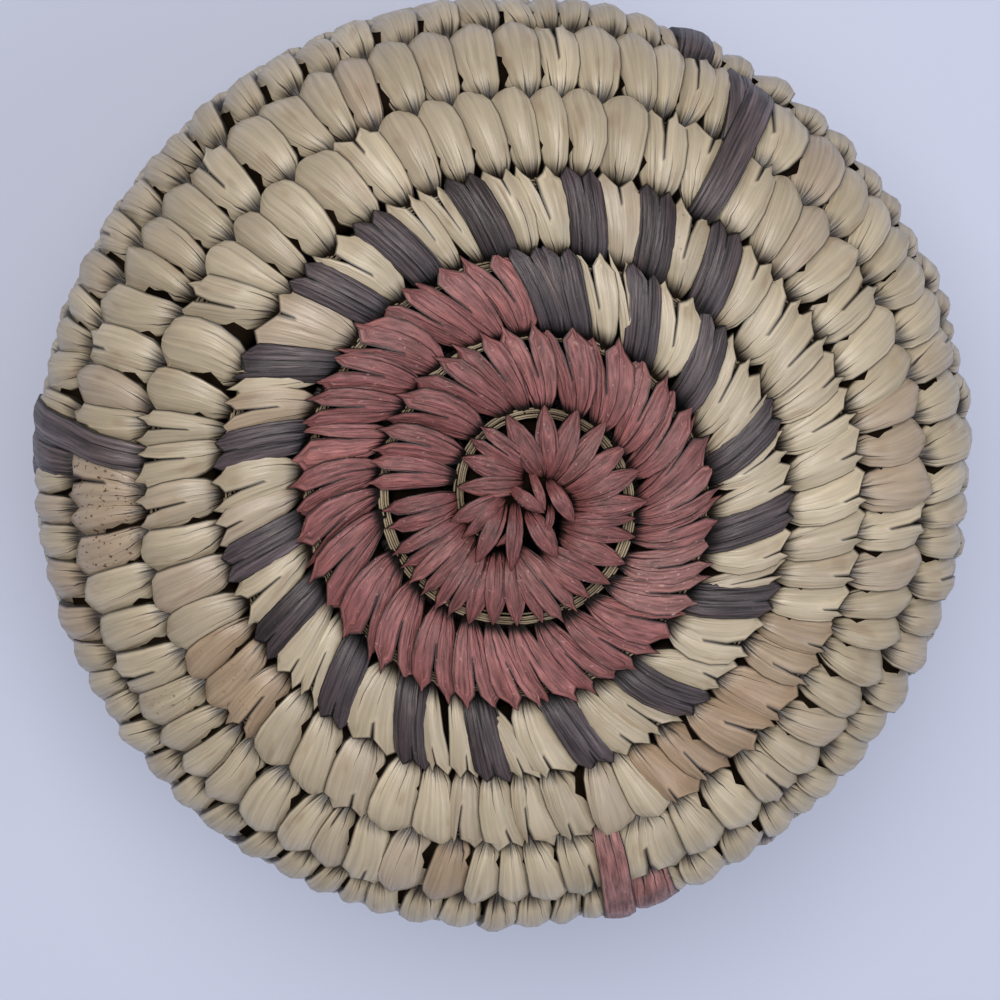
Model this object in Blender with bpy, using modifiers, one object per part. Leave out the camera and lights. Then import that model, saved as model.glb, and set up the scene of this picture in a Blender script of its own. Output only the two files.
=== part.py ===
"""Lidded coiled basket, modelled in metres with +Z up.

A bundle of grass stems is wound into a spiral and each row is sewn to the one before it with
split leaf. The lid is a shallow cap of such rows, with a red centre, a ring of alternating dark
and natural stitches and three small edge motifs. It slips over a neck that is sewn inside the
top row of the body.
"""
import math

import bmesh
import bpy
from mathutils import Vector

MM = 0.001

# Coil: the row pitch is one turn's advance, and the section is a little narrower than it
ROW_PITCH = 11.0 * MM
ROW_GAP = 0.5 * MM
COIL_THICKNESS = 10.0 * MM
STEPS_PER_TURN = 24

# Coil section: its crown rises out of the groove of the row before it and stays nearly full to
# its own outer edge
CROWN_START = -3.6 * MM
CROWN_END = 3.9 * MM
TUCKED_EDGE_HEIGHT = 3.7 * MM
FULL_EDGE_HEIGHT = 4.7 * MM
INSIDE_WIDTH = 7.0 * MM

# Stitches round the lid's coil: one rib each, drawn in at the seams
RIB_PITCH = 6.2 * MM
SEAM_FULLNESS = 0.88

# Start and ends of a coil, and the joints between its zones
KNOT_RADIUS = 4.7 * MM
KNOT_HEIGHT = 9.0 * MM
FIRST_ROW_EDGE = 10.5 * MM
END_TAPER = (0.33, 0.62)
ZONE_GAP = 0.3 * MM
END_RUN = 0.8 * MM

# Overall
OVERALL_HEIGHT = 100.0 * MM
FLAT_CUT = 0.5 * MM

# Lid: its slope grows with a power of the distance along the coil until it stands upright
LID_UPRIGHT_AT = 78.1 * MM
LID_SLOPE_POWER = 3.97
LID_TURNS = 8.0

# Body: flat base, round heel, flaring wall
HEEL_START = 42.0 * MM
HEEL_END = HEEL_START + 30.0 * MM
HEEL_SLOPE = math.radians(74.0)
WALL_UPRIGHT_AT = HEEL_END + 36.0 * MM

# Neck: two upright rows that begin beside the top row of the body
NECK_CLEARANCE = 0.8 * MM
NECK_TURNS = 2.0

# Where each sewn zone of the spiral ends, in turns from the start of the coil
LID_RED_TURNS = 2.25
LID_RING_TURNS = 3.375
LID_TOP_TURNS = 4.875
BODY_BASE_TURNS = 4.875
BODY_WALL_TURNS = 7.375

# Contrasting stitches on the lid
STITCH_THICKNESS = 0.6 * MM
STITCH_LIFT = 0.45 * MM
STITCH_WIDTH = 6.0 * MM
DARK_STITCHES = 22
DARK_STITCH_SLANT = math.radians(7.0)
STITCH_COLUMNS = 2
STITCH_NARROW = 0.45
MOTIF_STITCH_WIDTH = 4.4 * MM
MOTIF_STITCH_SPACING = 1.15 * MOTIF_STITCH_WIDTH
MOTIF_SHOULDER = 51.0 * MM
MOTIFS = (
    ("left", 172.0, "dark", 3),
    ("upper_right", 58.2, "dark", 3),
    ("lower_right", 283.3, "red", 2),
)
MOTIF_PARTS = ("long", "side", "low")

# Strip over a row: how far it drops into the grooves and stands off the crown
TUCKED_FOOT_DROP = 0.25 * MM
FULL_FOOT_RISE = 0.32 * MM
CROWN_LIFT = 0.1 * MM
SHOULDER_MARGIN = 0.2 * MM
FOOT_MARGIN = 0.6 * MM

# Knot and ground cutter
KNOT_SEGMENTS = 16
KNOT_RINGS = 8
CUTTER_WIDTH = 200.0 * MM
CUTTER_DEPTH = 20.0 * MM
WELD_DISTANCE = 0.001 * MM

COLOURS = {
    "natural": (0.40, 0.33, 0.25),
    "red": (0.21, 0.085, 0.08),
    "dark": (0.075, 0.06, 0.063),
}
ROUGHNESS = {"natural": 0.55, "red": 0.65, "dark": 0.5}


class Meridian:
    """Line that the coil's centre follows from the axis outwards, seen in section.

    It is walked in short steps from a slope function. A climb of +1 goes up as the slope
    grows, like the body, and -1 goes down, like the lid.
    """

    STEP = 0.25 * MM

    def __init__(self, slope_at, length, start, climb):
        self.slope_at = slope_at
        self.climb = climb
        self.places = [start]
        for index in range(int(length / self.STEP)):
            slope = slope_at((index + 0.5) * self.STEP)
            radius, level = self.places[-1]
            self.places.append((
                radius + math.cos(slope) * self.STEP,
                level + climb * math.sin(slope) * self.STEP,
            ))

    def place(self, distance):
        """Radius and height at a distance along the line."""
        index = min(int(distance / self.STEP), len(self.places) - 2)
        share = distance / self.STEP - index
        near, far = self.places[index], self.places[index + 1]
        return near[0] + (far[0] - near[0]) * share, near[1] + (far[1] - near[1]) * share

    def distance_at(self, height):
        """Distance at which the line first passes a height on its way up."""
        index = next(number for number, (_, level) in enumerate(self.places) if level >= height)
        below, above = self.places[index - 1][1], self.places[index][1]
        return (index - (above - height) / (above - below)) * self.STEP

    def bend(self, distance):
        """Change of slope per metre, which crowds neighbouring rows on the hollow side."""
        reach = 2.0 * MM
        ahead, behind = self.slope_at(distance + reach), self.slope_at(max(distance - reach, 0.0))
        return (ahead - behind) / (2.0 * reach)

    def surface(self, distance, lift):
        """Radius and height of a point that stands off the line on its outer side."""
        radius, level = self.place(distance)
        slope = self.slope_at(distance)
        return radius + lift * math.sin(slope), level - self.climb * lift * math.cos(slope)


class Coil:
    """A spiral of rows along a meridian.

    The first row thickens where it starts against the knot, and both cut ends of the coil
    thin out over the last steps, so that the rim ends in a short ramp.
    """

    def __init__(self, meridian, start_edge, start_angle, turning, first_turn, last_turn):
        self.meridian = meridian
        self.start_edge = start_edge
        self.start_angle = start_angle
        self.turning = turning
        self.first_turn = first_turn
        self.last_turn = last_turn

    def row(self, turns):
        """Inner and outer edge of the row that passes after a number of turns."""
        outer = self.start_edge + ROW_PITCH * turns
        inner = max(outer - ROW_PITCH + ROW_GAP, KNOT_RADIUS + ROW_GAP)
        steps_left = round((self.last_turn - turns) * STEPS_PER_TURN, 6)
        if 0 <= steps_left < len(END_TAPER):
            tapers = (*END_TAPER, 1.0)
            step = int(steps_left)
            taper = tapers[step] + (tapers[step + 1] - tapers[step]) * (steps_left - step)
            outer = inner + (outer - inner) * taper
        return inner, outer

    def angle(self, turns):
        """Angle round the axis after a number of turns."""
        return self.start_angle + self.turning * 2.0 * math.pi * turns

    def turns(self):
        """Turns at each step of the coil, from its first step to its last."""
        first, last = round(self.first_turn * STEPS_PER_TURN), round(self.last_turn * STEPS_PER_TURN)
        return [index / STEPS_PER_TURN for index in range(first, last + 1)]

    def plain_steps(self, start, end):
        """Turns and fullness at each step of a coil whose stitches aren't modelled."""
        return [(turn, 1.0) for turn in self.turns() if start <= turn <= end]

    def stitch_steps(self, start, end):
        """Turns and fullness at each seam and each crown of the stitches between two turns."""
        walked = [start]
        while walked[-1] < end or len(walked) % 2 == 0:
            radius, _ = self.meridian.place(self.centre(walked[-1])[0])
            walked.append(walked[-1] + RIB_PITCH / 2.0 / (2.0 * math.pi * radius))
        stretch = (end - start) / (walked[-1] - start)
        return [
            (start + (turn - start) * stretch, 1.0 if number % 2 else SEAM_FULLNESS)
            for number, turn in enumerate(walked)
        ]

    def centre(self, turns):
        """Distance along the meridian and size of the section, one for a full row."""
        inner, outer = self.row(turns)
        middle = (inner + outer) / 2.0
        bend = abs(self.meridian.bend(middle))
        full = ROW_PITCH - ROW_GAP
        half_turn = bend * ROW_PITCH / 2.0
        chord = math.sin(half_turn) / half_turn if half_turn > 1e-6 else 1.0
        outside = chord * ROW_PITCH
        inside = (1.0 - bend * COIL_THICKNESS / 2.0) * chord * ROW_PITCH + full - INSIDE_WIDTH
        return middle, min(outer - inner, outside - ROW_GAP, inside - ROW_GAP) / full

    def point(self, turns):
        """World position of the coil's centre after a number of turns."""
        middle, _ = self.centre(turns)
        radius, level = self.meridian.place(middle)
        angle = self.angle(turns)
        return Vector((radius * math.cos(angle), radius * math.sin(angle), level))

    def beside(self, turns, run):
        """World position a short run along the coil from its centre after a number of turns.

        Both zones that meet there end square to this direction.
        """
        near = 1.0 / STEPS_PER_TURN
        direction = self.point(turns + near) - self.point(turns - near)
        return self.point(turns) + direction.normalized() * run

    def section(self, turns):
        """Corners of the coil's section in the plane of the axis, as radius and height."""
        middle, size = self.centre(turns)
        radius, level = self.meridian.place(middle)
        slope = self.meridian.slope_at(middle)
        along = Vector((math.cos(slope), self.meridian.climb * math.sin(slope)))
        outwards = Vector((along.y, -along.x)) * self.meridian.climb
        return [Vector((radius, level)) + (along * x + outwards * y) * size for x, y in section_corners()]

    def least_gap(self):
        """Smallest distance between a row and the row one turn later, in section."""
        turns = self.turns()
        last = turns[-1]
        pairs = [(turn, turn + 1.0) for turn in turns if turn + 1.0 <= last]
        return min(polygon_gap(self.section(one), self.section(two)) for one, two in pairs)


def section_corners():
    """Corners of the stitched coil's section, as place along the row's width and lift.

    The stitches come up out of the row before, cross the crown and end full at their own edge,
    where the next row's stitches go through them. Inside the basket the row is narrower.
    """
    half_width = (ROW_PITCH - ROW_GAP) / 2.0
    half_height = COIL_THICKNESS / 2.0
    return [
        (-half_width, TUCKED_EDGE_HEIGHT),
        (CROWN_START, half_height),
        (CROWN_END, half_height),
        (half_width, FULL_EDGE_HEIGHT),
        (INSIDE_WIDTH / 2.0, -half_height),
        (-INSIDE_WIDTH / 2.0, -half_height),
    ]


def polygon_gap(one, two):
    """Smallest distance between two convex polygons that don't meet."""
    def corner_to_edges(corner, polygon):
        distances = []
        for start, end in zip(polygon, polygon[1:] + polygon[:1]):
            edge = end - start
            share = max(0.0, min(1.0, (corner - start).dot(edge) / edge.length_squared))
            distances.append((corner - start - edge * share).length)
        return min(distances)
    return min(
        min(corner_to_edges(corner, two) for corner in one),
        min(corner_to_edges(corner, one) for corner in two),
    )


def smooth_step(value):
    """Ramp from 0 to 1 that starts and ends level."""
    share = max(0.0, min(1.0, value))
    return share * share * (3.0 - 2.0 * share)


def lid_slope(distance):
    return math.pi / 2.0 * min((distance / LID_UPRIGHT_AT) ** LID_SLOPE_POWER, 1.0)


def body_slope(distance):
    heel = HEEL_SLOPE * smooth_step((distance - HEEL_START) / (HEEL_END - HEEL_START))
    flare = (math.pi / 2.0 - HEEL_SLOPE) * smooth_step((distance - HEEL_END) / (WALL_UPRIGHT_AT - HEEL_END))
    return heel + flare


def upright_slope(_distance):
    return math.pi / 2.0


def clear_scene():
    for thing in list(bpy.data.objects):
        bpy.data.objects.remove(thing, do_unlink=True)
    for group in list(bpy.data.collections):
        bpy.data.collections.remove(group)


def make_collection(name):
    group = bpy.data.collections.new(name)
    bpy.context.scene.collection.children.link(group)
    return group


def make_material(name):
    material = bpy.data.materials.new(f"{name}_leaf")
    material.use_nodes = True
    shader = material.node_tree.nodes["Principled BSDF"]
    shader.inputs["Base Color"].default_value = (*COLOURS[name], 1.0)
    shader.inputs["Roughness"].default_value = ROUGHNESS[name]
    shader.inputs["Metallic"].default_value = 0.0
    material.diffuse_color = (*COLOURS[name], 1.0)
    return material


def link(thing, group, parent, material):
    group.objects.link(thing)
    thing.parent = parent
    if parent is not None:
        thing.matrix_parent_inverse = parent.matrix_world.inverted()
    thing.data.materials.clear()
    thing.data.materials.append(material)
    return thing


def make_pivot(name, group, height):
    pivot = bpy.data.objects.new(name, None)
    pivot.location = (0.0, 0.0, height)
    group.objects.link(pivot)
    bpy.context.view_layer.update()
    return pivot


def make_section_profile(name, group, outer_side_up):
    """Closed 2D curve that a coil uses as its bevel object.

    A bevel's x runs inwards on the lid's path, which turns clockwise, and outwards on the body's,
    and its y runs upwards. The lid's outer side is up, and the body's is down.
    """
    data = bpy.data.curves.new(name, "CURVE")
    data.dimensions = "2D"
    facing = 1.0 if outer_side_up else -1.0
    corners = section_corners()
    spline = data.splines.new("POLY")
    spline.points.add(len(corners) - 1)
    for point, (x, y) in zip(spline.points, reversed(corners)):
        point.co = (-x * facing, y * facing, 0.0, 1.0)
    spline.use_cyclic_u = True
    profile = bpy.data.objects.new(name, data)
    profile.hide_render = True
    profile.display_type = "WIRE"
    group.objects.link(profile)
    return profile


def make_coil(name, coil, steps, profile):
    """Tube through a run of steps, each with its turns along the coil and its fullness."""
    data = bpy.data.curves.new(name, "CURVE")
    data.dimensions = "3D"
    data.twist_mode = "Z_UP"
    data.resolution_u = 1
    data.bevel_mode = "OBJECT"
    data.bevel_object = profile
    data.use_fill_caps = True
    places = [(turn, full, coil.point(turn)) for turn, full in steps]
    (start, start_full), (end, end_full) = steps[0], steps[-1]
    places[:1] = [(start, start_full, coil.beside(start, run)) for run in (ZONE_GAP / 2.0, END_RUN)]
    places[-1:] = [(end, end_full, coil.beside(end, -run)) for run in (END_RUN, ZONE_GAP / 2.0)]
    spline = data.splines.new("POLY")
    spline.points.add(len(places) - 1)
    for point, (turn, full, place) in zip(spline.points, places):
        middle, size = coil.centre(turn)
        point.co = (*place, 1.0)
        point.radius = size * full
        point.tilt = -coil.meridian.slope_at(middle)
    return bpy.data.objects.new(name, data)


def to_mesh(thing, group):
    """Mesh object in place of a curve object, with its end caps welded on."""
    group.objects.link(thing)
    graph = bpy.context.evaluated_depsgraph_get()
    mesh = bpy.data.meshes.new_from_object(thing.evaluated_get(graph))
    shape = bmesh.new()
    shape.from_mesh(mesh)
    bmesh.ops.remove_doubles(shape, verts=shape.verts, dist=WELD_DISTANCE)
    shape.to_mesh(mesh)
    shape.free()
    name = thing.name
    bpy.data.objects.remove(thing, do_unlink=True)
    return bpy.data.objects.new(name, mesh)


def make_knot(name, height):
    """Domed knot of the stems that the coil is wound around."""
    bpy.ops.mesh.primitive_uv_sphere_add(
        segments=KNOT_SEGMENTS, ring_count=KNOT_RINGS, radius=KNOT_RADIUS, location=(0, 0, height)
    )
    knot = bpy.context.active_object
    knot.name = name
    knot.scale = (1.0, 1.0, KNOT_HEIGHT / 2.0 / KNOT_RADIUS)
    bpy.ops.object.transform_apply(location=False, rotation=False, scale=True)
    for group in list(knot.users_collection):
        group.objects.unlink(knot)
    return knot


def cut_flat(coil, cutters):
    """Level the underside of the base where the basket stands on it."""
    bpy.ops.mesh.primitive_cube_add(size=1.0, location=(0.0, 0.0, -CUTTER_DEPTH / 2.0))
    block = bpy.context.active_object
    block.name = "ground_cutter"
    block.scale = (CUTTER_WIDTH, CUTTER_WIDTH, CUTTER_DEPTH)
    block.hide_render = True
    block.display_type = "WIRE"
    for group in list(block.users_collection):
        group.objects.unlink(block)
    cutters.objects.link(block)
    cut = coil.modifiers.new("Level underside", "BOOLEAN")
    cut.operation = "DIFFERENCE"
    cut.solver = "EXACT"
    cut.object = block


def fullness(share):
    """Width of a leaf strip at a share of its length: narrow at its ends, full past its middle."""
    start, end = 0.15 * math.pi, 0.9 * math.pi
    return STITCH_NARROW + (1.0 - STITCH_NARROW) * math.sin(start + (end - start) * share)


def make_stitch(name, meridian, path, angle, width, slant):
    """Leaf-shaped strip that lies over the rows between two distances along the meridian.

    The path holds distances along the meridian with the height of the strip above it.
    """
    shape = bmesh.new()
    bmesh.ops.create_grid(shape, x_segments=len(path) - 1, y_segments=STITCH_COLUMNS, size=0.5)
    start, end = path[0][0], path[-1][0]
    for vertex in shape.verts:
        row = round((vertex.co.x + 0.5) * (len(path) - 1))
        side = vertex.co.y * 2.0
        distance, lift = path[row]
        radius, level = meridian.surface(distance, lift)
        share = (distance - start) / (end - start)
        half_width = width / 2.0 * fullness(share)
        turned = angle + slant * (share - 0.5) + side * half_width / radius
        vertex.co = (radius * math.cos(turned), radius * math.sin(turned), level)
    mesh = bpy.data.meshes.new(name)
    shape.to_mesh(mesh)
    shape.free()
    stitch = bpy.data.objects.new(name, mesh)
    return stitch


def thicken(stitch):
    solid = stitch.modifiers.new("Leaf thickness", "SOLIDIFY")
    solid.thickness = STITCH_THICKNESS
    solid.offset = 1.0


def row_path(inner, outer):
    """Strip over one row: up from the inner groove, across the crown and down to the outer one."""
    middle = (inner + outer) / 2.0
    half_height = COIL_THICKNESS / 2.0
    crown = half_height + STITCH_LIFT
    foot = (ROW_PITCH - ROW_GAP) / 2.0 - FOOT_MARGIN
    return [
        (middle - foot, half_height - TUCKED_FOOT_DROP),
        (middle + CROWN_START - SHOULDER_MARGIN, crown),
        (middle, crown + CROWN_LIFT),
        (middle + CROWN_END + SHOULDER_MARGIN, crown),
        (middle + foot, half_height + FULL_FOOT_RISE),
    ]


def two_row_path(inner, middle_edge, outer):
    """Strip over two rows, bridging the groove between them."""
    first, second = row_path(inner, middle_edge), row_path(middle_edge, outer)
    return first[:4] + second[1:]


def edge_near(coil, angle, distance):
    """Outer edge of the row at an angle that lies nearest to a distance along the meridian."""
    part = ((angle - coil.start_angle) / (2.0 * math.pi) * coil.turning) % 1.0
    edges = [coil.start_edge + ROW_PITCH * (step + part) for step in range(int(coil.last_turn))]
    return min(edges, key=lambda edge: abs(edge - distance))


def build_ring_stitches(coil, group, parent, material):
    """Dark stitches spread evenly by length along the mixed ring of the lid."""
    def place_after(share):
        first, last = LID_RED_TURNS, LID_RING_TURNS
        radius_first, radius_last = coil.centre(first)[0], coil.centre(last)[0]
        radius = math.sqrt(radius_first ** 2 + (radius_last ** 2 - radius_first ** 2) * share)
        return first + (last - first) * (radius - radius_first) / (radius_last - radius_first)
    for index in range(DARK_STITCHES):
        turn = place_after((index + 0.5) / DARK_STITCHES)
        inner, outer = coil.row(turn)
        name = f"lid_ring_stitch_{index + 1:02d}"
        path = row_path(inner, outer)
        stitch = make_stitch(name, coil.meridian, path, coil.angle(turn), STITCH_WIDTH, DARK_STITCH_SLANT)
        thicken(stitch)
        link(stitch, group, parent, material)


def build_motif(label, coil, degrees, count, group, parent, material):
    """Long stitch over two rows, then shorter ones that step down the side beside it."""
    angle = math.radians(degrees)
    inner = edge_near(coil, angle, MOTIF_SHOULDER)
    step = MOTIF_STITCH_SPACING / coil.meridian.place(inner + ROW_PITCH)[0]
    for number, part in enumerate(MOTIF_PARTS[:count]):
        edge = inner + ROW_PITCH * max(number, 1)
        path = row_path(edge, edge + ROW_PITCH) if number else two_row_path(inner, edge, edge + ROW_PITCH)
        name = f"lid_motif_{label}_{part}_stitch"
        turned = angle + number * step
        stitch = make_stitch(name, coil.meridian, path, turned, MOTIF_STITCH_WIDTH, 0.0)
        thicken(stitch)
        link(stitch, group, parent, material)


def build_lid(group, profile, materials):
    top = OVERALL_HEIGHT - COIL_THICKNESS / 2.0
    meridian = Meridian(lid_slope, FIRST_ROW_EDGE + ROW_PITCH * (LID_TURNS + 1.0), (0.0, top), -1.0)
    last_turn = LID_TURNS - 1.0 / STEPS_PER_TURN
    coil = Coil(meridian, FIRST_ROW_EDGE, math.pi, -1.0, 0.0, last_turn)
    pivot = make_pivot("lid_lift", group, top)
    zones = (
        ("lid_centre_coil", 0.0, LID_RED_TURNS, "red"),
        ("lid_ring_coil", LID_RED_TURNS, LID_RING_TURNS, "natural"),
        ("lid_top_coil", LID_RING_TURNS, LID_TOP_TURNS, "natural"),
        ("lid_rim_coil", LID_TOP_TURNS, last_turn, "natural"),
    )
    link(make_knot("lid_start_knot", top), group, pivot, materials["red"])
    for name, start, end, tone in zones:
        steps = coil.stitch_steps(start, end)
        link(make_coil(name, coil, steps, profile), group, pivot, materials[tone])
    build_ring_stitches(coil, group, pivot, materials["dark"])
    for label, degrees, tone, count in MOTIFS:
        build_motif(label, coil, degrees, count, group, pivot, materials[tone])
    return coil


def build_body(group, profile, cutters, materials, rim_height, end_angle):
    """Base and wall, whose rim climbs to a height at the angle where the lid's coil ends.

    The lid and the body turn in opposite directions seen from above, so their rims lie
    parallel and the ramps at their ends meet.
    """
    base = COIL_THICKNESS / 2.0 - FLAT_CUT
    meridian = Meridian(body_slope, 2.0 * WALL_UPRIGHT_AT, (0.0, base), 1.0)
    rim_edge = meridian.distance_at(rim_height)
    steps = round((rim_edge - FIRST_ROW_EDGE) / ROW_PITCH * STEPS_PER_TURN)
    full_turns = steps / STEPS_PER_TURN
    start_edge = rim_edge - ROW_PITCH * full_turns
    start_angle = end_angle - 2.0 * math.pi * full_turns
    last_turn = full_turns + len(END_TAPER) / STEPS_PER_TURN
    coil = Coil(meridian, start_edge, start_angle, 1.0, 0.0, last_turn)
    link(make_knot("body_start_knot", base + FLAT_CUT), group, None, materials["natural"])
    base_steps = coil.plain_steps(0.0, BODY_BASE_TURNS)
    base_coil = to_mesh(make_coil("body_base_coil", coil, base_steps, profile), group)
    link(base_coil, group, None, materials["natural"])
    cut_flat(base_coil, cutters)
    for name, start, end in (
        ("body_wall_coil", BODY_BASE_TURNS, BODY_WALL_TURNS),
        ("body_rim_coil", BODY_WALL_TURNS, last_turn),
    ):
        steps = coil.plain_steps(start, end)
        link(make_coil(name, coil, steps, profile), group, None, materials["natural"])
    return coil


def build_neck(group, profile, materials, rim_height, end_angle, lid_radius):
    """Upright rows that the lid slips over, sewn inside the top row of the wall."""
    radius = lid_radius - COIL_THICKNESS - NECK_CLEARANCE
    foot = rim_height - ROW_PITCH * NECK_TURNS
    meridian = Meridian(upright_slope, ROW_PITCH * (NECK_TURNS + 2.0), (radius, foot), 1.0)
    last_turn = NECK_TURNS + 1.0
    coil = Coil(meridian, 0.0, end_angle, 1.0, 1.0, last_turn)
    steps = coil.plain_steps(1.0, last_turn)
    link(make_coil("body_neck_coil", coil, steps, profile), group, None, materials["natural"])
    return coil


def main():
    clear_scene()
    group = make_collection("lidded_basket")
    cutters = make_collection("cutters")
    materials = {name: make_material(name) for name in COLOURS}
    lid_profile = make_section_profile("lid_coil_section", cutters, True)
    body_profile = make_section_profile("body_coil_section", cutters, False)
    lid = build_lid(group, lid_profile, materials)
    lid_end_angle = lid.angle(LID_TURNS)
    highest_edge = lid.start_edge + ROW_PITCH * (LID_TURNS - 1.0)
    lid_radius, lid_edge_height = lid.meridian.place(highest_edge)
    rim_height = lid_edge_height - ROW_GAP
    body = build_body(group, body_profile, cutters, materials, rim_height, lid_end_angle)
    neck = build_neck(group, body_profile, materials, rim_height, lid_end_angle, lid_radius)
    for name, coil in (("lid", lid), ("body", body), ("neck", neck)):
        turns = coil.last_turn - coil.first_turn
        print(f"{name} coil: {turns:.2f} turns, least gap {coil.least_gap() / MM:.3f} mm")
    print(f"lid edge from {lid_edge_height / MM:.2f} mm down to {(lid_edge_height - ROW_PITCH) / MM:.2f} mm")
    print(f"lid radius {(lid_radius + COIL_THICKNESS / 2) / MM:.2f} mm")
    print(f"body radius {(body.meridian.places[-1][0] + COIL_THICKNESS / 2) / MM:.2f} mm")
    print(f"neck top at {neck.meridian.place(neck.start_edge + ROW_PITCH * neck.last_turn)[1] / MM:.2f} mm")
    for turn in (1.5, 2.5, 3.5, 4.5):
        print(f"base row centre after {turn} turns: {tuple(round(value / MM, 2) for value in body.point(turn))} mm")


if __name__ == "__main__":
    main()
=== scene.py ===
"""Looks of a lidded coiled basket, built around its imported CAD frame.

Lengths are metres with +Z up. The basket is split-stitch coiling: a bundle of grass stems winds
outwards in a spiral, and every row is sewn to the one before it with strips of leaf that pierce
the stitches below them. Each strip is a copy of one of a few leaf shapes, laid over the coil.
"""
import logging
import math
from dataclasses import dataclass, field, replace
from enum import Enum
from typing import Callable, Iterable, Optional, Sequence

import bmesh
import bpy
import numpy as np
from mathutils import Matrix, Vector


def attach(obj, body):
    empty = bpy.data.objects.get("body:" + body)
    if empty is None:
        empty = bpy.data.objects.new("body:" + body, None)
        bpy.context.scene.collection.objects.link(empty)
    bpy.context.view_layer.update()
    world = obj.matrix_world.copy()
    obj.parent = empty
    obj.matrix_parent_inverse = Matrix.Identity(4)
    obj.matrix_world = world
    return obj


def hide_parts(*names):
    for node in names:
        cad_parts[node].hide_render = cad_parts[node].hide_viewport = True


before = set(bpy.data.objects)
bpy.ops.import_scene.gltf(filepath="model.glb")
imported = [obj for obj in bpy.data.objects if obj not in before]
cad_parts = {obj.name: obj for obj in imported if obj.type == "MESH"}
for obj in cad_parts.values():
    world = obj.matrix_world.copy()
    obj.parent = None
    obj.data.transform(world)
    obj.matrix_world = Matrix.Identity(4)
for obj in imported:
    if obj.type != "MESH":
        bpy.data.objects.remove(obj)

LOG = logging.getLogger("basket")
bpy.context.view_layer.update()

MM = 0.001
TURN = 2.0 * math.pi

Socket = bpy.types.NodeSocket
Amount = float | np.ndarray

# Coil of the CAD model
ROW_PITCH = 11.0 * MM
COIL_THICKNESS = 10.0 * MM
FIRST_ROW_EDGE = 10.5 * MM
OVERALL_HEIGHT = 100.0 * MM
LID_UPRIGHT_AT = 78.1 * MM
LID_SLOPE_POWER = 3.97
LID_TURNS = 8.0
LID_RED_TURNS = 2.25
LID_RING_TURNS = 3.375
LID_TOP_TURNS = 4.875
HEEL_START = 42.0 * MM
HEEL_END = 72.0 * MM
HEEL_SLOPE = math.radians(74.0)
WALL_UPRIGHT_AT = 108.0 * MM
BODY_BASE_TURNS = 4.875
BODY_WALL_TURNS = 7.375
BASE_LEVEL = 4.5 * MM
RIM_GAP = 0.5 * MM
NECK_CLEARANCE = 0.8 * MM
NECK_TURNS = 2.0
STEPS_PER_TURN = 24
# Turns over which a coil thins out at its end, and how thin it gets there
TAPER_TURNS = 0.125
THIN_END = 0.25
# Least radius at which a turn is measured, for a whole row and for the points of one strip
LEAST_RADIUS = 2.5 * MM
LEAST_STRIP_RADIUS = 4.0 * MM


def srgb(hex_colour: str) -> tuple[float, float, float, float]:
    """Turns an sRGB hex colour into the linear values that a shader reads.

    Args:
        hex_colour: Six hex digits, such as "c8b496".

    Returns:
        Linear red, green, blue and an alpha of one.
    """
    parts = [int(hex_colour[start:start + 2], 16) / 255.0 for start in (0, 2, 4)]
    linear = [part / 12.92 if part <= 0.04045 else ((part + 0.055) / 1.055) ** 2.4 for part in parts]
    return (*linear, 1.0)


def deselect_all() -> None:
    """Leaves object mode with nothing selected."""
    if bpy.context.mode != "OBJECT":
        bpy.ops.object.mode_set(mode="OBJECT")
    bpy.ops.object.select_all(action="DESELECT")


def smooth_step(value: float) -> float:
    """Ramp from 0 to 1 that starts and ends level.

    Args:
        value: Share of the ramp, clamped to 0 and 1.

    Returns:
        Height of the ramp.
    """
    share = max(0.0, min(1.0, value))
    return share * share * (3.0 - 2.0 * share)


# Materials


def add_node(
    tree: bpy.types.NodeTree, kind: str, inputs: Optional[dict] = None,
    stops: Sequence[tuple[float, tuple]] = (), **settings: object,
) -> bpy.types.Node:
    """Adds a shader node with its settings, values and links.

    Args:
        tree: Node tree that gets the node.
        kind: Blender's type name of the node, without the leading ShaderNode.
        inputs: Value or output socket for each named or numbered input.
        stops: Place and linear colour of each stop in order, where the node has a colour ramp.
        settings: Properties of the node itself.

    Returns:
        The new node.
    """
    node = tree.nodes.new(f"ShaderNode{kind}")
    for name, value in settings.items():
        setattr(node, name, value)
    for name, value in (inputs or {}).items():
        if isinstance(value, Socket):
            tree.links.new(value, node.inputs[name])
        else:
            node.inputs[name].default_value = value
    if stops:
        elements = node.color_ramp.elements
        elements.remove(elements[-1])
        elements[0].position, elements[0].color = stops[0]
        for place, colour in stops[1:]:
            elements.new(place).color = colour
    return node


def grey_stops(steps: Sequence[tuple[float, float]]) -> list[tuple[float, tuple]]:
    """Turns places and linear grey levels into the stops of a colour ramp."""
    return [(place, (level, level, level, 1.0)) for place, level in steps]


# Noises of a strip of leaf: cycles per millimetre across and along it, and octaves. Fibres are
# 0.4 mm wide, specks 0.6 mm, veins 1.2 mm, worn patches 2 mm and mottling 6 mm. How far the fibres
# run along the strip is the finish's own.
LEAF_NOISES = {
    "fibre": (2.6, None, 3.0), "vein": (0.85, 0.035, 2.0), "mottle": (0.16, 0.11, 3.0),
    "speck": (1.8, 1.3, 2.0), "worn": (0.45, 0.16, 2.0),
}
# Lowest and highest value that a noise mostly takes, and the part of it that makes a worn patch
NOISE_LOW, NOISE_HIGH = 0.3, 0.7
PATCH_LOW, PATCH_HIGH = 0.56, 0.74
MOTTLE_CONTRAST = 0.08
# Brightness from the rim to its middle: painted shade where a strip turns down at its rim, then a painted
# highlight just inside it
RIM_PAINTED_SHADE_AND_HIGHLIGHT = ((0.0, 0.07), (0.07, 0.25), (0.16, 0.82), (0.26, 0.96), (0.48, 0.87))
RIM_GAIN = 1.12
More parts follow.
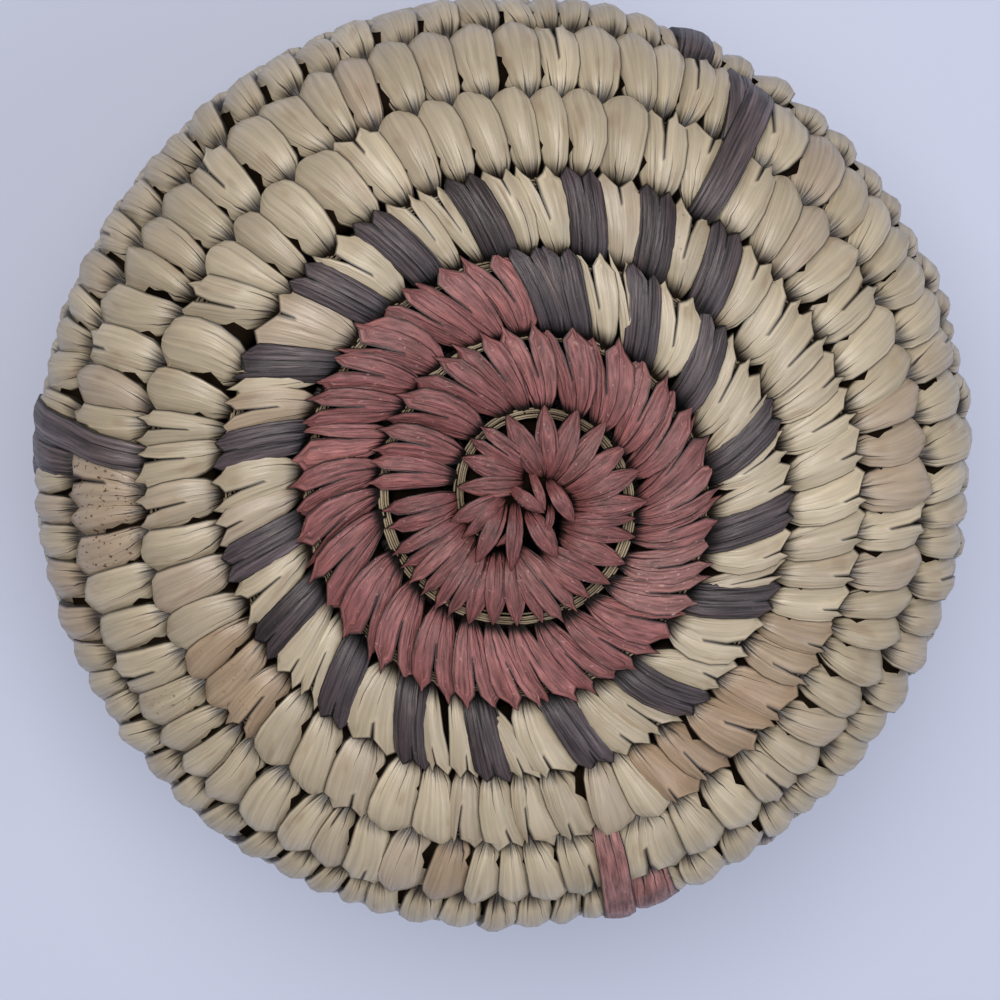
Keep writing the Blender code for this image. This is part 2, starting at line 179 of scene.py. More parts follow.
# Noise level at which a speck starts and is full, and how much soiling lowers that level
SPECK_STEPS = ((0.0, 0.0), (0.66, 0.0), (0.72, 1.0))
SOIL_SHARE = 0.05
# Millimetres by which veins bend the creases, the shares along a strip between which a crease
# narrows, and the share of its width at which its edge softens
CREASE_BEND = 0.9
CREASE_FROM, CREASE_TO = 0.02, 0.38
CREASE_SOFT = 0.45
# Mottling times this is added to the share along the strip, and from this sum on a crease fades
CREASE_UNEVEN = -1.6
CREASE_FADES = -0.60
# Share along the strip that is all in the painted shade of its hole, and the middle of the fibre noise
HOLE_SHADE = 0.05
NOISE_MIDDLE = 0.5
# Height of veins and depth of creases against the fibres, and the height that they stand for
VEIN_HEIGHT = 1.4
CREASE_HEIGHT = -1.2
LEAF_RELIEF = 0.25 * MM
# How much duller the hollows and shinier the crests are than the finish's roughness
DULLER, SHINIER = 0.08, 0.06


@dataclass(frozen=True)
class LeafFinish:
    """Split leaf, dried and sewn damp: fine long fibres, satin skin, and painted shade where it enters a
    hole and in its creases.

    The leaf attribute holds each strip's tone, the share along it and its soiling. The fibre UV
    map is in millimetres, across the strip and then along it.
    """

    name: str
    shades: tuple[tuple[float, str], ...]
    # Colour of the painted shade in the creases and at the hole
    painted_shade_colour: str
    speck: str
    speck_amount: float
    patch: str
    patch_amount: float
    fibre_contrast: float
    vein_contrast: float
    dark_reach: float
    fray: float
    crinkle: float
    crease_pitch: float
    crease_run: float
    crease_width: float
    crease_wedge: float
    crease_depth: tuple[float, float]
    roughness: float
    specular: float
    bump: float

    def material(self) -> bpy.types.Material:
        """Builds the node material.

        Returns:
            The material, ready to assign.
        """
        made = bpy.data.materials.new(self.name)
        made.use_nodes = True
        tree = made.node_tree
        shader = tree.nodes["Principled BSDF"]
        leaf = add_node(tree, "Attribute", attribute_name="leaf").outputs["Vector"]
        tone, along, soil = add_node(tree, "SeparateXYZ", {0: leaf}).outputs
        plan = add_node(tree, "UVMap", uv_map="fibre").outputs[0]
        noises = {}
        for name, (across_scale, along_scale, detail) in LEAF_NOISES.items():
            scale = (across_scale, along_scale or self.crinkle, 1.0)
            spread = add_node(tree, "Mapping", {"Vector": plan, "Scale": scale}).outputs[0]
            noises[name] = add_node(
                tree, "TexNoise", {"Vector": spread, "Scale": 1.0, "Detail": detail}
            ).outputs[0]
        base = self._shade(tree, tone, noises["worn"])
        level = self._brightness(tree, noises)
        coloured = add_node(tree, "VectorMath", {0: base, "Scale": level}, operation="SCALE").outputs[0]
        slit = self._creases(tree, plan, noises, along)
        specks = self._specks(tree, noises["speck"], soil)
        hole = self._hole(tree, noises["fibre"], along)
        # Creases and the end at the hole get painted shade; specks get their own colour
        for share, painted_shade_colour in ((slit, self.painted_shade_colour), (specks, self.speck), (hole, self.painted_shade_colour)):
            coloured = add_node(
                tree, "Mix", {0: share, 6: coloured, 7: srgb(painted_shade_colour)}, data_type="RGBA"
            ).outputs[2]
        tree.links.new(coloured, shader.inputs["Base Color"])
        self._relief(tree, shader, noises, slit)
        shader.inputs["Specular IOR Level"].default_value = self.specular
        return made

    def _shade(self, tree: bpy.types.NodeTree, tone: Socket, worn: Socket) -> Socket:
        """Colour of the strip's tone, with worn patches.

        Args:
            tree: Node tree of the material.
            tone: Place among the finish's shades.
            worn: Noise of the worn patches.

        Returns:
            Colour socket.
        """
        shades = [(place, srgb(shade)) for place, shade in self.shades]
        base = add_node(tree, "ValToRGB", {0: tone}, shades).outputs[0]
        patch = add_node(
            tree, "MapRange", {0: worn, 1: PATCH_LOW, 2: PATCH_HIGH, 3: 0.0, 4: self.patch_amount},
            interpolation_type="SMOOTHSTEP",
        ).outputs[0]
        mixed = add_node(tree, "Mix", {0: patch, 6: base, 7: srgb(self.patch)}, data_type="RGBA")
        return mixed.outputs[2]

    def _brightness(self, tree: bpy.types.NodeTree, noises: dict[str, Socket]) -> Socket:
        """Light and dark of fibres, veins and mottling, and the painted shade and painted highlight at the
        rim.

        Args:
            tree: Node tree of the material.
            noises: Noises by name.

        Returns:
            Value socket that multiplies the colour.
        """
        rim = add_node(tree, "Attribute", attribute_name="rim").outputs["Fac"]
        edge = add_node(tree, "ValToRGB", {0: rim}, grey_stops(RIM_PAINTED_SHADE_AND_HIGHLIGHT)).outputs[0]
        level = add_node(tree, "Math", {0: edge, 1: RIM_GAIN}, operation="MULTIPLY").outputs[0]
        contrasts = (
            ("fibre", self.fibre_contrast), ("vein", self.vein_contrast), ("mottle", MOTTLE_CONTRAST),
        )
        for name, contrast in contrasts:
            spread = add_node(tree, "MapRange", {
                0: noises[name], 1: NOISE_LOW, 2: NOISE_HIGH, 3: 1.0 - contrast, 4: 1.0 + contrast,
            }).outputs[0]
            level = add_node(tree, "Math", {0: level, 1: spread}, operation="MULTIPLY").outputs[0]
        return level

    def _creases(
        self, tree: bpy.types.NodeTree, plan: Socket, noises: dict[str, Socket], along: Socket,
    ) -> Socket:
        """Creases that open at the hole and close along the strip; their mask paints shade into the colour
        and cuts the relief.

        Args:
            tree: Node tree of the material.
            plan: Fibre UV map.
            noises: Noises by name.
            along: Share along the strip.

        Returns:
            Value socket, one in a crease.
        """
        bent = add_node(
            tree, "VectorMath", {0: noises["vein"], 1: (CREASE_BEND, 0.0, 0.0), 2: plan},
            operation="MULTIPLY_ADD",
        ).outputs[0]
        beside = add_node(tree, "SeparateXYZ", {0: bent}).outputs[0]
        crease = add_node(
            tree, "TexVoronoi", {"W": beside, "Scale": 1.0 / self.crease_pitch},
            feature="DISTANCE_TO_EDGE", voronoi_dimensions="1D",
        ).outputs["Distance"]
        widest = self.crease_wedge * self.crease_width
        width = add_node(
            tree, "MapRange", {0: along, 1: CREASE_FROM, 2: CREASE_TO, 3: widest, 4: self.crease_width},
            interpolation_type="SMOOTHSTEP",
        ).outputs[0]
        beyond = add_node(tree, "Math", {0: crease, 1: width}, operation="DIVIDE").outputs[0]
        line = add_node(tree, "MapRange", {0: beyond, 1: CREASE_SOFT, 2: 1.0, 3: 1.0, 4: 0.0}).outputs[0]
        reach = add_node(
            tree, "Math", {0: noises["mottle"], 1: CREASE_UNEVEN, 2: along}, operation="MULTIPLY_ADD"
        ).outputs[0]
        at_hole, at_end = self.crease_depth
        depth = add_node(
            tree, "MapRange", {0: reach, 1: CREASE_FADES, 2: self.crease_run, 3: at_hole, 4: at_end},
            interpolation_type="SMOOTHSTEP",
        ).outputs[0]
        return add_node(tree, "Math", {0: line, 1: depth}, operation="MULTIPLY").outputs[0]

    def _specks(self, tree: bpy.types.NodeTree, speck: Socket, soil: Socket) -> Socket:
        """Specks, more and stronger on a soiled strip.

        Args:
            tree: Node tree of the material.
            speck: Noise of the specks.
            soil: How soiled the strip is.

        Returns:
            Value socket, one in a full speck.
        """
        soiled = add_node(
            tree, "Math", {0: soil, 1: SOIL_SHARE, 2: speck}, operation="MULTIPLY_ADD"
        ).outputs[0]
        mask = add_node(tree, "ValToRGB", {0: soiled}, grey_stops(SPECK_STEPS)).outputs[0]
        amount = add_node(
            tree, "MapRange", {0: soil, 1: 0.0, 2: 1.0, 3: self.speck_amount, 4: 1.0}
        ).outputs[0]
        return add_node(tree, "Math", {0: mask, 1: amount}, operation="MULTIPLY").outputs[0]

    def _hole(self, tree: bpy.types.NodeTree, fibre: Socket, along: Socket) -> Socket:
        """Painted shade where the strip comes out of its hole, with a frayed end.

        Args:
            tree: Node tree of the material.
            fibre: Noise of the fibres.
            along: Share along the strip.

        Returns:
            Value socket, one in full painted shade.
        """
        depth = add_node(
            tree, "Math", {0: fibre, 1: self.fray, 2: along}, operation="MULTIPLY_ADD"
        ).outputs[0]
        start = HOLE_SHADE + NOISE_MIDDLE * self.fray
        return add_node(
            tree, "MapRange", {0: depth, 1: start, 2: start + self.dark_reach, 3: 1.0, 4: 0.0},
            interpolation_type="SMOOTHSTEP",
        ).outputs[0]

    def _relief(
        self, tree: bpy.types.NodeTree, shader: bpy.types.Node, noises: dict[str, Socket], slit: Socket,
    ) -> None:
        """Raises veins and fibres, cuts the creases and sets the sheen.

        Args:
            tree: Node tree of the material.
            shader: Its Principled node.
            noises: Noises by name.
            slit: Creases.
        """
        height = add_node(
            tree, "Math", {0: noises["vein"], 1: VEIN_HEIGHT, 2: noises["fibre"]}, operation="MULTIPLY_ADD"
        ).outputs[0]
        cut = add_node(
            tree, "Math", {0: slit, 1: CREASE_HEIGHT, 2: height}, operation="MULTIPLY_ADD"
        ).outputs[0]
        bump = add_node(tree, "Bump", {"Strength": self.bump, "Distance": LEAF_RELIEF, "Height": cut})
        tree.links.new(bump.outputs[0], shader.inputs["Normal"])
        gloss = add_node(tree, "MapRange", {
            0: noises["fibre"], 1: NOISE_LOW, 2: NOISE_HIGH,
            3: self.roughness + DULLER, 4: self.roughness - SHINIER,
        })
        tree.links.new(gloss.outputs[0], shader.inputs["Roughness"])


# Grain and patches of dry stems, the relief of the grain, and the patch noise from dark to light
STEM_GRAIN = 1.5 * MM
STEM_PATCH = 9.0 * MM
STEM_RELIEF = 0.2 * MM
STEM_BUMP = 0.5
STEM_DARK_AT, STEM_LIGHT_AT = 0.3, 0.62


@dataclass(frozen=True)
class StemFinish:
    """Dry grass stems: pale straw with fine ridges along the coil and darker and lighter patches."""

    name: str
    light: str
    dark: str
    roughness: float = 0.55
    specular: float = 0.4

    def material(self) -> bpy.types.Material:
        """Builds the node material from object coordinates, because stems follow no sheet.

        Returns:
            The material, ready to assign.
        """
        made = bpy.data.materials.new(self.name)
        made.use_nodes = True
        tree = made.node_tree
        shader = tree.nodes["Principled BSDF"]
        place = add_node(tree, "TexCoord").outputs["Object"]
        grain = add_node(
            tree, "TexNoise", {"Vector": place, "Scale": 1.0 / STEM_GRAIN, "Detail": 3.0}
        ).outputs[0]
        patches = add_node(
            tree, "TexNoise", {"Vector": place, "Scale": 1.0 / STEM_PATCH, "Detail": 2.0}
        ).outputs[0]
        stops = ((STEM_DARK_AT, srgb(self.dark)), (STEM_LIGHT_AT, srgb(self.light)))
        colour = add_node(tree, "ValToRGB", {0: patches}, stops).outputs[0]
        tree.links.new(colour, shader.inputs["Base Color"])
        bump = add_node(tree, "Bump", {"Strength": STEM_BUMP, "Distance": STEM_RELIEF, "Height": grain})
        tree.links.new(bump.outputs[0], shader.inputs["Normal"])
        shader.inputs["Roughness"].default_value = self.roughness
        shader.inputs["Specular IOR Level"].default_value = self.specular
        return made


# Natural leaf is bleached bear grass or palm: cream, with a few pinkish and tan strips
NATURAL = LeafFinish(
    name="dried_natural_leaf",
    shades=(
        (0.0, "bbae95"), (0.25, "b1a48c"), (0.45, "aa9d85"), (0.6, "ae9f8b"), (0.75, "a08c74"),
        (0.88, "987f65"), (1.0, "92724f"),
    ),
    painted_shade_colour="1c140e", speck="5f412c", speck_amount=0.0, patch="8a6c50", patch_amount=0.35,
    fibre_contrast=0.14, vein_contrast=0.12, dark_reach=0.23, fray=0.18, crinkle=0.10,
    crease_pitch=2.7, crease_run=-0.18, crease_width=0.016, crease_wedge=6.0, crease_depth=(0.9, 0.0),
    roughness=0.35, specular=0.55, bump=0.6,
)
# Red-brown root or dyed leaf: a little furrier, with deep grooves that get painted shade, and pale flecks
RED = LeafFinish(
    name="dyed_red_leaf",
    shades=((0.0, "8d5b58"), (0.3, "7f4e4c"), (0.6, "734443"), (0.8, "7c504c"), (1.0, "8c6460")),
    painted_shade_colour="120808", speck="c9a79c", speck_amount=0.35, patch="57302f", patch_amount=0.45,
    fibre_contrast=0.50, vein_contrast=0.26, dark_reach=0.13, fray=0.20, crinkle=0.32,
    crease_pitch=2.1, crease_run=0.05, crease_width=0.030, crease_wedge=2.4, crease_depth=(0.95, 0.25),
    roughness=0.45, specular=0.42, bump=1.0,
)
# Dark leaf is dyed near black and keeps a grey sheen along its fibres
DARK = LeafFinish(
    name="dyed_dark_leaf",
    shades=((0.0, "4a4144"), (0.4, "3e3538"), (0.7, "362d2d"), (0.85, "3e3536"), (1.0, "5c5152")),
    painted_shade_colour="060505", speck="8f8482", speck_amount=0.15, patch="63544f", patch_amount=0.5,
    fibre_contrast=0.66, vein_contrast=0.54, dark_reach=0.20, fray=0.20, crinkle=0.14,
    crease_pitch=2.4, crease_run=0.05, crease_width=0.040, crease_wedge=2.5, crease_depth=(0.85, 0.25),
    roughness=0.42, specular=0.46, bump=1.0,
)
STRAW = StemFinish(name="dry_grass_stems", light="ab9b80", dark="5c4c3b")
# The core is painted near black: painted shade that shows through the gaps between strips
PAINTED_SHADE_CORE = StemFinish(name="grass_bundle_painted_shade", light="1a130d", dark="0a0705", roughness=1.0, specular=0.0)


# Path of the coils


@dataclass
class Spiral:
    """Path of a sewn coil: a meridian line walked from its slope, wound round the axis.

    Turns count along the coil. Distance runs along the meridian from its start.
    """

    slope_at: Callable[[float], float]
    length: float
    start: tuple[float, float]
    climb: float
    start_edge: float
    start_angle: float
    turning: float
    last_turn: float
    step: float = 0.25 * MM
    distances: np.ndarray = field(init=False)
    radii: np.ndarray = field(init=False)
    levels: np.ndarray = field(init=False)
    slopes: np.ndarray = field(init=False)

    def __post_init__(self) -> None:
        """Walks the meridian once and keeps its places."""
        count = int(self.length / self.step)
        walked = np.array([self.slope_at((index + 0.5) * self.step) for index in range(count)])
        self.distances = np.arange(count + 1) * self.step
        self.radii = self.start[0] + np.concatenate(([0.0], np.cumsum(np.cos(walked)))) * self.step
        rise = np.concatenate(([0.0], np.cumsum(np.sin(walked)))) * self.step
        self.levels = self.start[1] + self.climb * rise
        self.slopes = np.array([self.slope_at(distance) for distance in self.distances])

    def edge(self, turns: Amount) -> Amount:
        """Distance of the row's outer edge after a number of turns."""
        return self.start_edge + ROW_PITCH * turns

    def radius(self, distance: Amount) -> Amount:
        """Radius of the meridian at a distance."""
        return np.interp(distance, self.distances, self.radii)

    def around(self, turns: float, across_row: float = 0.5) -> float:
        """Length of one full turn at a place in the row.

        Args:
            turns: Place along the coil.
            across_row: Share of the row's width, from its inner edge.

        Returns:
            Circumference there.
        """
        distance = self.edge(turns) - ROW_PITCH * (1.0 - across_row)
        return TURN * max(float(self.radius(distance)), LEAST_RADIUS)

    def point(self, turns: np.ndarray, across_row: np.ndarray, lift: np.ndarray) -> np.ndarray:
        """World points on or over the coil.

        Args:
            turns: Place along the coil of each point.
            across_row: Share of the row's width, from its inner edge.
            lift: Height over the coil's centre line, outwards.

        Returns:
            One row of x, y and z for each point.
        """
        distance = self.edge(turns) - ROW_PITCH * (1.0 - across_row)
        angle = self.start_angle + self.turning * TURN * turns
        return self.over(distance, angle, lift)

    def over(self, distance: np.ndarray, angle: np.ndarray, lift: np.ndarray) -> np.ndarray:
        """World points that stand off the meridian on its outer side.

        Args:
            distance: Distance along the meridian.
            angle: Angle round the axis.
            lift: Height over the centre line, outwards.

        Returns:
            One row of x, y and z for each point.
        """
        slope = np.interp(distance, self.distances, self.slopes)
        radius = self.radius(distance) + lift * np.sin(slope)
        level = np.interp(distance, self.distances, self.levels) - self.climb * lift * np.cos(slope)
        return np.column_stack((radius * np.cos(angle), radius * np.sin(angle), level))

    def taper(self, turns: np.ndarray) -> np.ndarray:
        """Share of the coil's thickness at each place, which thins out towards its end."""
        left = (self.last_turn - turns) / TAPER_TURNS
        return np.clip(THIN_END + (1.0 - THIN_END) * left, THIN_END, 1.0)


def lid_slope(distance: float) -> float:
    """Slope of the lid's meridian at a distance."""
    return math.pi / 2.0 * min((distance / LID_UPRIGHT_AT) ** LID_SLOPE_POWER, 1.0)


def body_slope(distance: float) -> float:
    """Slope of the body's meridian at a distance.

    Args:
        distance: Distance along the meridian from the middle of the base.

    Returns:
        Radians: none on the base, then up round the heel, and slowly upright along the wall.
    """
    heel = HEEL_SLOPE * smooth_step((distance - HEEL_START) / (HEEL_END - HEEL_START))
    upright = smooth_step((distance - HEEL_END) / (WALL_UPRIGHT_AT - HEEL_END))
    return heel + (math.pi / 2.0 - HEEL_SLOPE) * upright


def upright_slope(_distance: float) -> float:
    """Slope of an upright wall."""
    return math.pi / 2.0


def lid_spiral() -> Spiral:
    """The lid's coil, which turns clockwise seen from above and starts at the left."""
    top = OVERALL_HEIGHT - COIL_THICKNESS / 2.0
    return Spiral(
        lid_slope, FIRST_ROW_EDGE + ROW_PITCH * (LID_TURNS + 1.0), (0.0, top), -1.0,
        FIRST_ROW_EDGE, math.pi, -1.0, LID_TURNS - 1.0 / STEPS_PER_TURN,
    )


def body_spiral(lid: Spiral) -> Spiral:
    """The body's coil, phased so that its rim lies under the lid's edge.

    Args:
        lid: The lid's coil.

    Returns:
        The body's coil.
    """
    trial = Spiral(body_slope, 2.0 * WALL_UPRIGHT_AT, (0.0, BASE_LEVEL), 1.0, 0.0, 0.0, 1.0, 1.0)
    rim_level = float(np.interp(lid.edge(LID_TURNS - 1.0), lid.distances, lid.levels)) - RIM_GAP
    rim_edge = float(np.interp(rim_level, trial.levels, trial.distances))
    turns = round((rim_edge - FIRST_ROW_EDGE) / ROW_PITCH * STEPS_PER_TURN) / STEPS_PER_TURN
    end_angle = lid.start_angle - TURN * LID_TURNS
    return replace(
        trial, start_edge=rim_edge - ROW_PITCH * turns, start_angle=end_angle - TURN * turns,
        last_turn=turns + 2.0 / STEPS_PER_TURN,
    )


def neck_spiral(lid: Spiral) -> Spiral:
    """The neck's coil, two upright rows sewn inside the top row of the body.

    Args:
        lid: The lid's coil.

    Returns:
        The neck's coil, whose sewn rows run from turn 1 to turn 3.
    """
    edge = lid.edge(LID_TURNS - 1.0)
    rim_level = float(np.interp(edge, lid.distances, lid.levels)) - RIM_GAP
    radius = float(lid.radius(edge)) - COIL_THICKNESS - NECK_CLEARANCE
    foot = rim_level - ROW_PITCH * NECK_TURNS
    return Spiral(
        upright_slope, ROW_PITCH * (NECK_TURNS + 2.0), (radius, foot), 1.0,
        0.0, lid.start_angle - TURN * LID_TURNS, 1.0, NECK_TURNS + 1.0,
    )


# Leaf shapes


class Cut(Enum):
    """How a strip of leaf looks once it is sewn and the next row has been sewn through it."""

    FORKED = "forked"
    DEEP = "deep"
    WHOLE = "whole"
    POINTS = "points"
    LANCET = "lancet"
    STRAIGHT = "straight"
    EDGE = "edge"
    LONG = "long"
    BACK = "back"


@dataclass(frozen=True)
class Prong:
    """One station of a split end: place across and set-back of the points of a prong."""

    slit: tuple[float, float]
    tip: tuple[float, float]
    side: tuple[float, float]


# Vertices by station and column of a leaf's grid
Spots = dict[tuple[int, float], list[int]]
# Columns of a split end, with the share across the leaf at which each starts: slit, tip and side
PRONG_COLUMNS = ((0.5, 0.0), (1, 0.25), (2, 0.5))
# Stations that are pleated beside their middle, and how much of the pleat each one has
PLEATED = ((0, 1.0), (1, 1.0), (2, 0.6))
# Faces that meet at less than this are shaded as one, and least difference between grid places
SMOOTH_UNDER = math.radians(58.0)
NEARLY = 1e-4


@dataclass(frozen=True)
class LeafShape:
    """Outline and arch of a strip that is laid over one row.

    Each station is the share of the row's width, the strip's width there as a share of its full
    width, and its height over the coil's centre line in millimetres. The last stations may be
    split down the middle into two prongs. Crown, pleat and thickness are in millimetres, and the
    end rim is the value of the rim attribute at the end, where 0 gets the full painted shade of an edge.
    """

    stations: tuple[tuple[float, float, float], ...]
    columns: int = 4
    prongs: tuple[Prong, ...] = ()
    crown: float = 0.72
    pleat: float = 0.25
    thickness: float = 1.2
    end_rim: float = 0.0

    def build(self, name: str) -> bpy.types.Object:
        """Models the strip from a grid with edit-mode operators.

        Args:
            name: Name of the object.

        Returns:
            A closed mesh: x is the share across, y the share of the row, z metres of lift.
        """
        deselect_all()
        rows = len(self.stations) - 1
        bpy.ops.mesh.primitive_grid_add(
            x_subdivisions=self.columns, y_subdivisions=rows, size=1.0, location=(0.0, 0.0, 0.0)
        )
        strip = bpy.context.active_object
        strip.name = name
        strip.data.attributes.new("rim", "FLOAT", "POINT")
        strip.data.attributes.new("across", "FLOAT", "POINT")
        bpy.ops.object.mode_set(mode="EDIT")
        if self.prongs:
            self._split(strip, rows)
        bpy.ops.mesh.select_mode(type="VERT")
        spots = self._spots(strip, rows)
        self._mark(strip)
        half = self.columns // 2
        for number, (along, width, lift) in enumerate(self.stations):
            level = number / rows - 0.5
            station = [group for (row, _), group in spots.items() if row == number]
            self._pick(strip, sum(station, []))
            bpy.ops.transform.resize(value=(width, 1.0, 1.0), center_override=(0.0, level, 0.0))
            bpy.ops.transform.translate(value=(0.0, along - level, lift * MM))
            for column in range(-half, half + 1):
                drop = self.crown * (column / half) ** 2 * MM
                self._move(strip, spots, number, column, (0.0, 0.0, -drop))
        for number, share in PLEATED:
            for side in (-1, 1):
                self._move(strip, spots, number, side, (0.0, 0.0, -self.pleat * share * MM))
        first = len(self.stations) - len(self.prongs)
        for number, prong in enumerate(self.prongs, start=first):
            width = self.stations[number][1]
            corners = (prong.slit, prong.tip, prong.side)
            for side in (-1, 1):
                for (column, start), (across, back) in zip(PRONG_COLUMNS, corners):
                    by = (side * (across - start) * width, -back, 0.0)
                    self._move(strip, spots, number, column * side, by)
        self._close()
        return strip

    def _mark(self, strip: bpy.types.Object) -> None:
        """Notes each vertex's place across the uncut leaf, and whether it is on the rim.

        Args:
            strip: Grid in edit mode.
        """
        shape = bmesh.from_edit_mesh(strip.data)
        rim = shape.verts.layers.float["rim"]
        across = shape.verts.layers.float["across"]
        for vertex in shape.verts:
            vertex[rim] = 0.0 if vertex.is_boundary else 1.0
            if vertex.co.y > 0.5 - NEARLY:
                vertex[rim] = self.end_rim
            vertex[across] = vertex.co.x
        bmesh.update_edit_mesh(strip.data)

    def _close(self) -> None:
        """Draws the rim down into a wall, closes the underside and leaves edit mode."""
        down = (0.0, 0.0, -self.thickness * MM)
        bpy.ops.mesh.select_all(action="DESELECT")
        bpy.ops.mesh.select_mode(type="EDGE")
        bpy.ops.mesh.select_non_manifold()
        bpy.ops.mesh.extrude_region_move(TRANSFORM_OT_translate={"value": down})
        bpy.ops.mesh.edge_face_add()
        bpy.ops.mesh.select_all(action="SELECT")
        bpy.ops.mesh.normals_make_consistent(inside=False)
        bpy.ops.object.mode_set(mode="OBJECT")
        bpy.ops.object.shade_smooth_by_angle(angle=SMOOTH_UNDER)

    @staticmethod
    def _pick(strip: bpy.types.Object, wanted: Sequence[int]) -> None:
        """Selects vertices in edit mode.

        Args:
            strip: Grid in edit mode.
            wanted: Numbers of the vertices.
        """
        chosen = set(wanted)
        shape = bmesh.from_edit_mesh(strip.data)
        for vertex in shape.verts:
            vertex.select = vertex.index in chosen
        shape.select_flush_mode()
        bmesh.update_edit_mesh(strip.data)

    def _move(
        self, strip: bpy.types.Object, spots: Spots, number: int, column: float,
        by: tuple[float, float, float],
    ) -> None:
        """Moves the vertices of one spot of the grid, if there are any.

        Args:
            strip: Grid in edit mode.
            spots: Its vertices by station and column.
            number: Station.
            column: Column.
            by: Way to move them.
        """
        if (number, column) in spots:
            self._pick(strip, spots[number, column])
            bpy.ops.transform.translate(value=by)

    def _spots(self, strip: bpy.types.Object, rows: int) -> Spots:
        """Sorts the grid's vertices by station and column.

        Args:
            strip: Grid in edit mode.
            rows: Number of faces along it.

        Returns:
            Vertex numbers by station and column. Column 0 is the middle, and the split middle
            has the columns -0.5 and 0.5.
        """
        spots: Spots = {}
        shape = bmesh.from_edit_mesh(strip.data)
        shape.verts.index_update()
        for vertex in shape.verts:
            row = round((vertex.co.y + 0.5) * rows)
            column = float(round(vertex.co.x * self.columns))
            sides = {face.calc_center_median().x > 0.0 for face in vertex.link_faces}
            if column == 0.0 and len(sides) == 1:
                column = 0.5 if sides.pop() else -0.5
            spots.setdefault((row, column), []).append(vertex.index)
        return spots

    def _split(self, strip: bpy.types.Object, rows: int) -> None:
        """Splits the last stations down the middle.

        Args:
            strip: Grid in edit mode.
            rows: Number of faces along it.
        """
        first = 0.5 - len(self.prongs) / rows
        bpy.ops.mesh.select_mode(type="EDGE")
        shape = bmesh.from_edit_mesh(strip.data)
        for edge in shape.edges:
            edge.select = all(abs(v.co.x) < NEARLY and v.co.y > first - NEARLY for v in edge.verts)
        bmesh.update_edit_mesh(strip.data)
        bpy.ops.mesh.edge_split(type="EDGE")


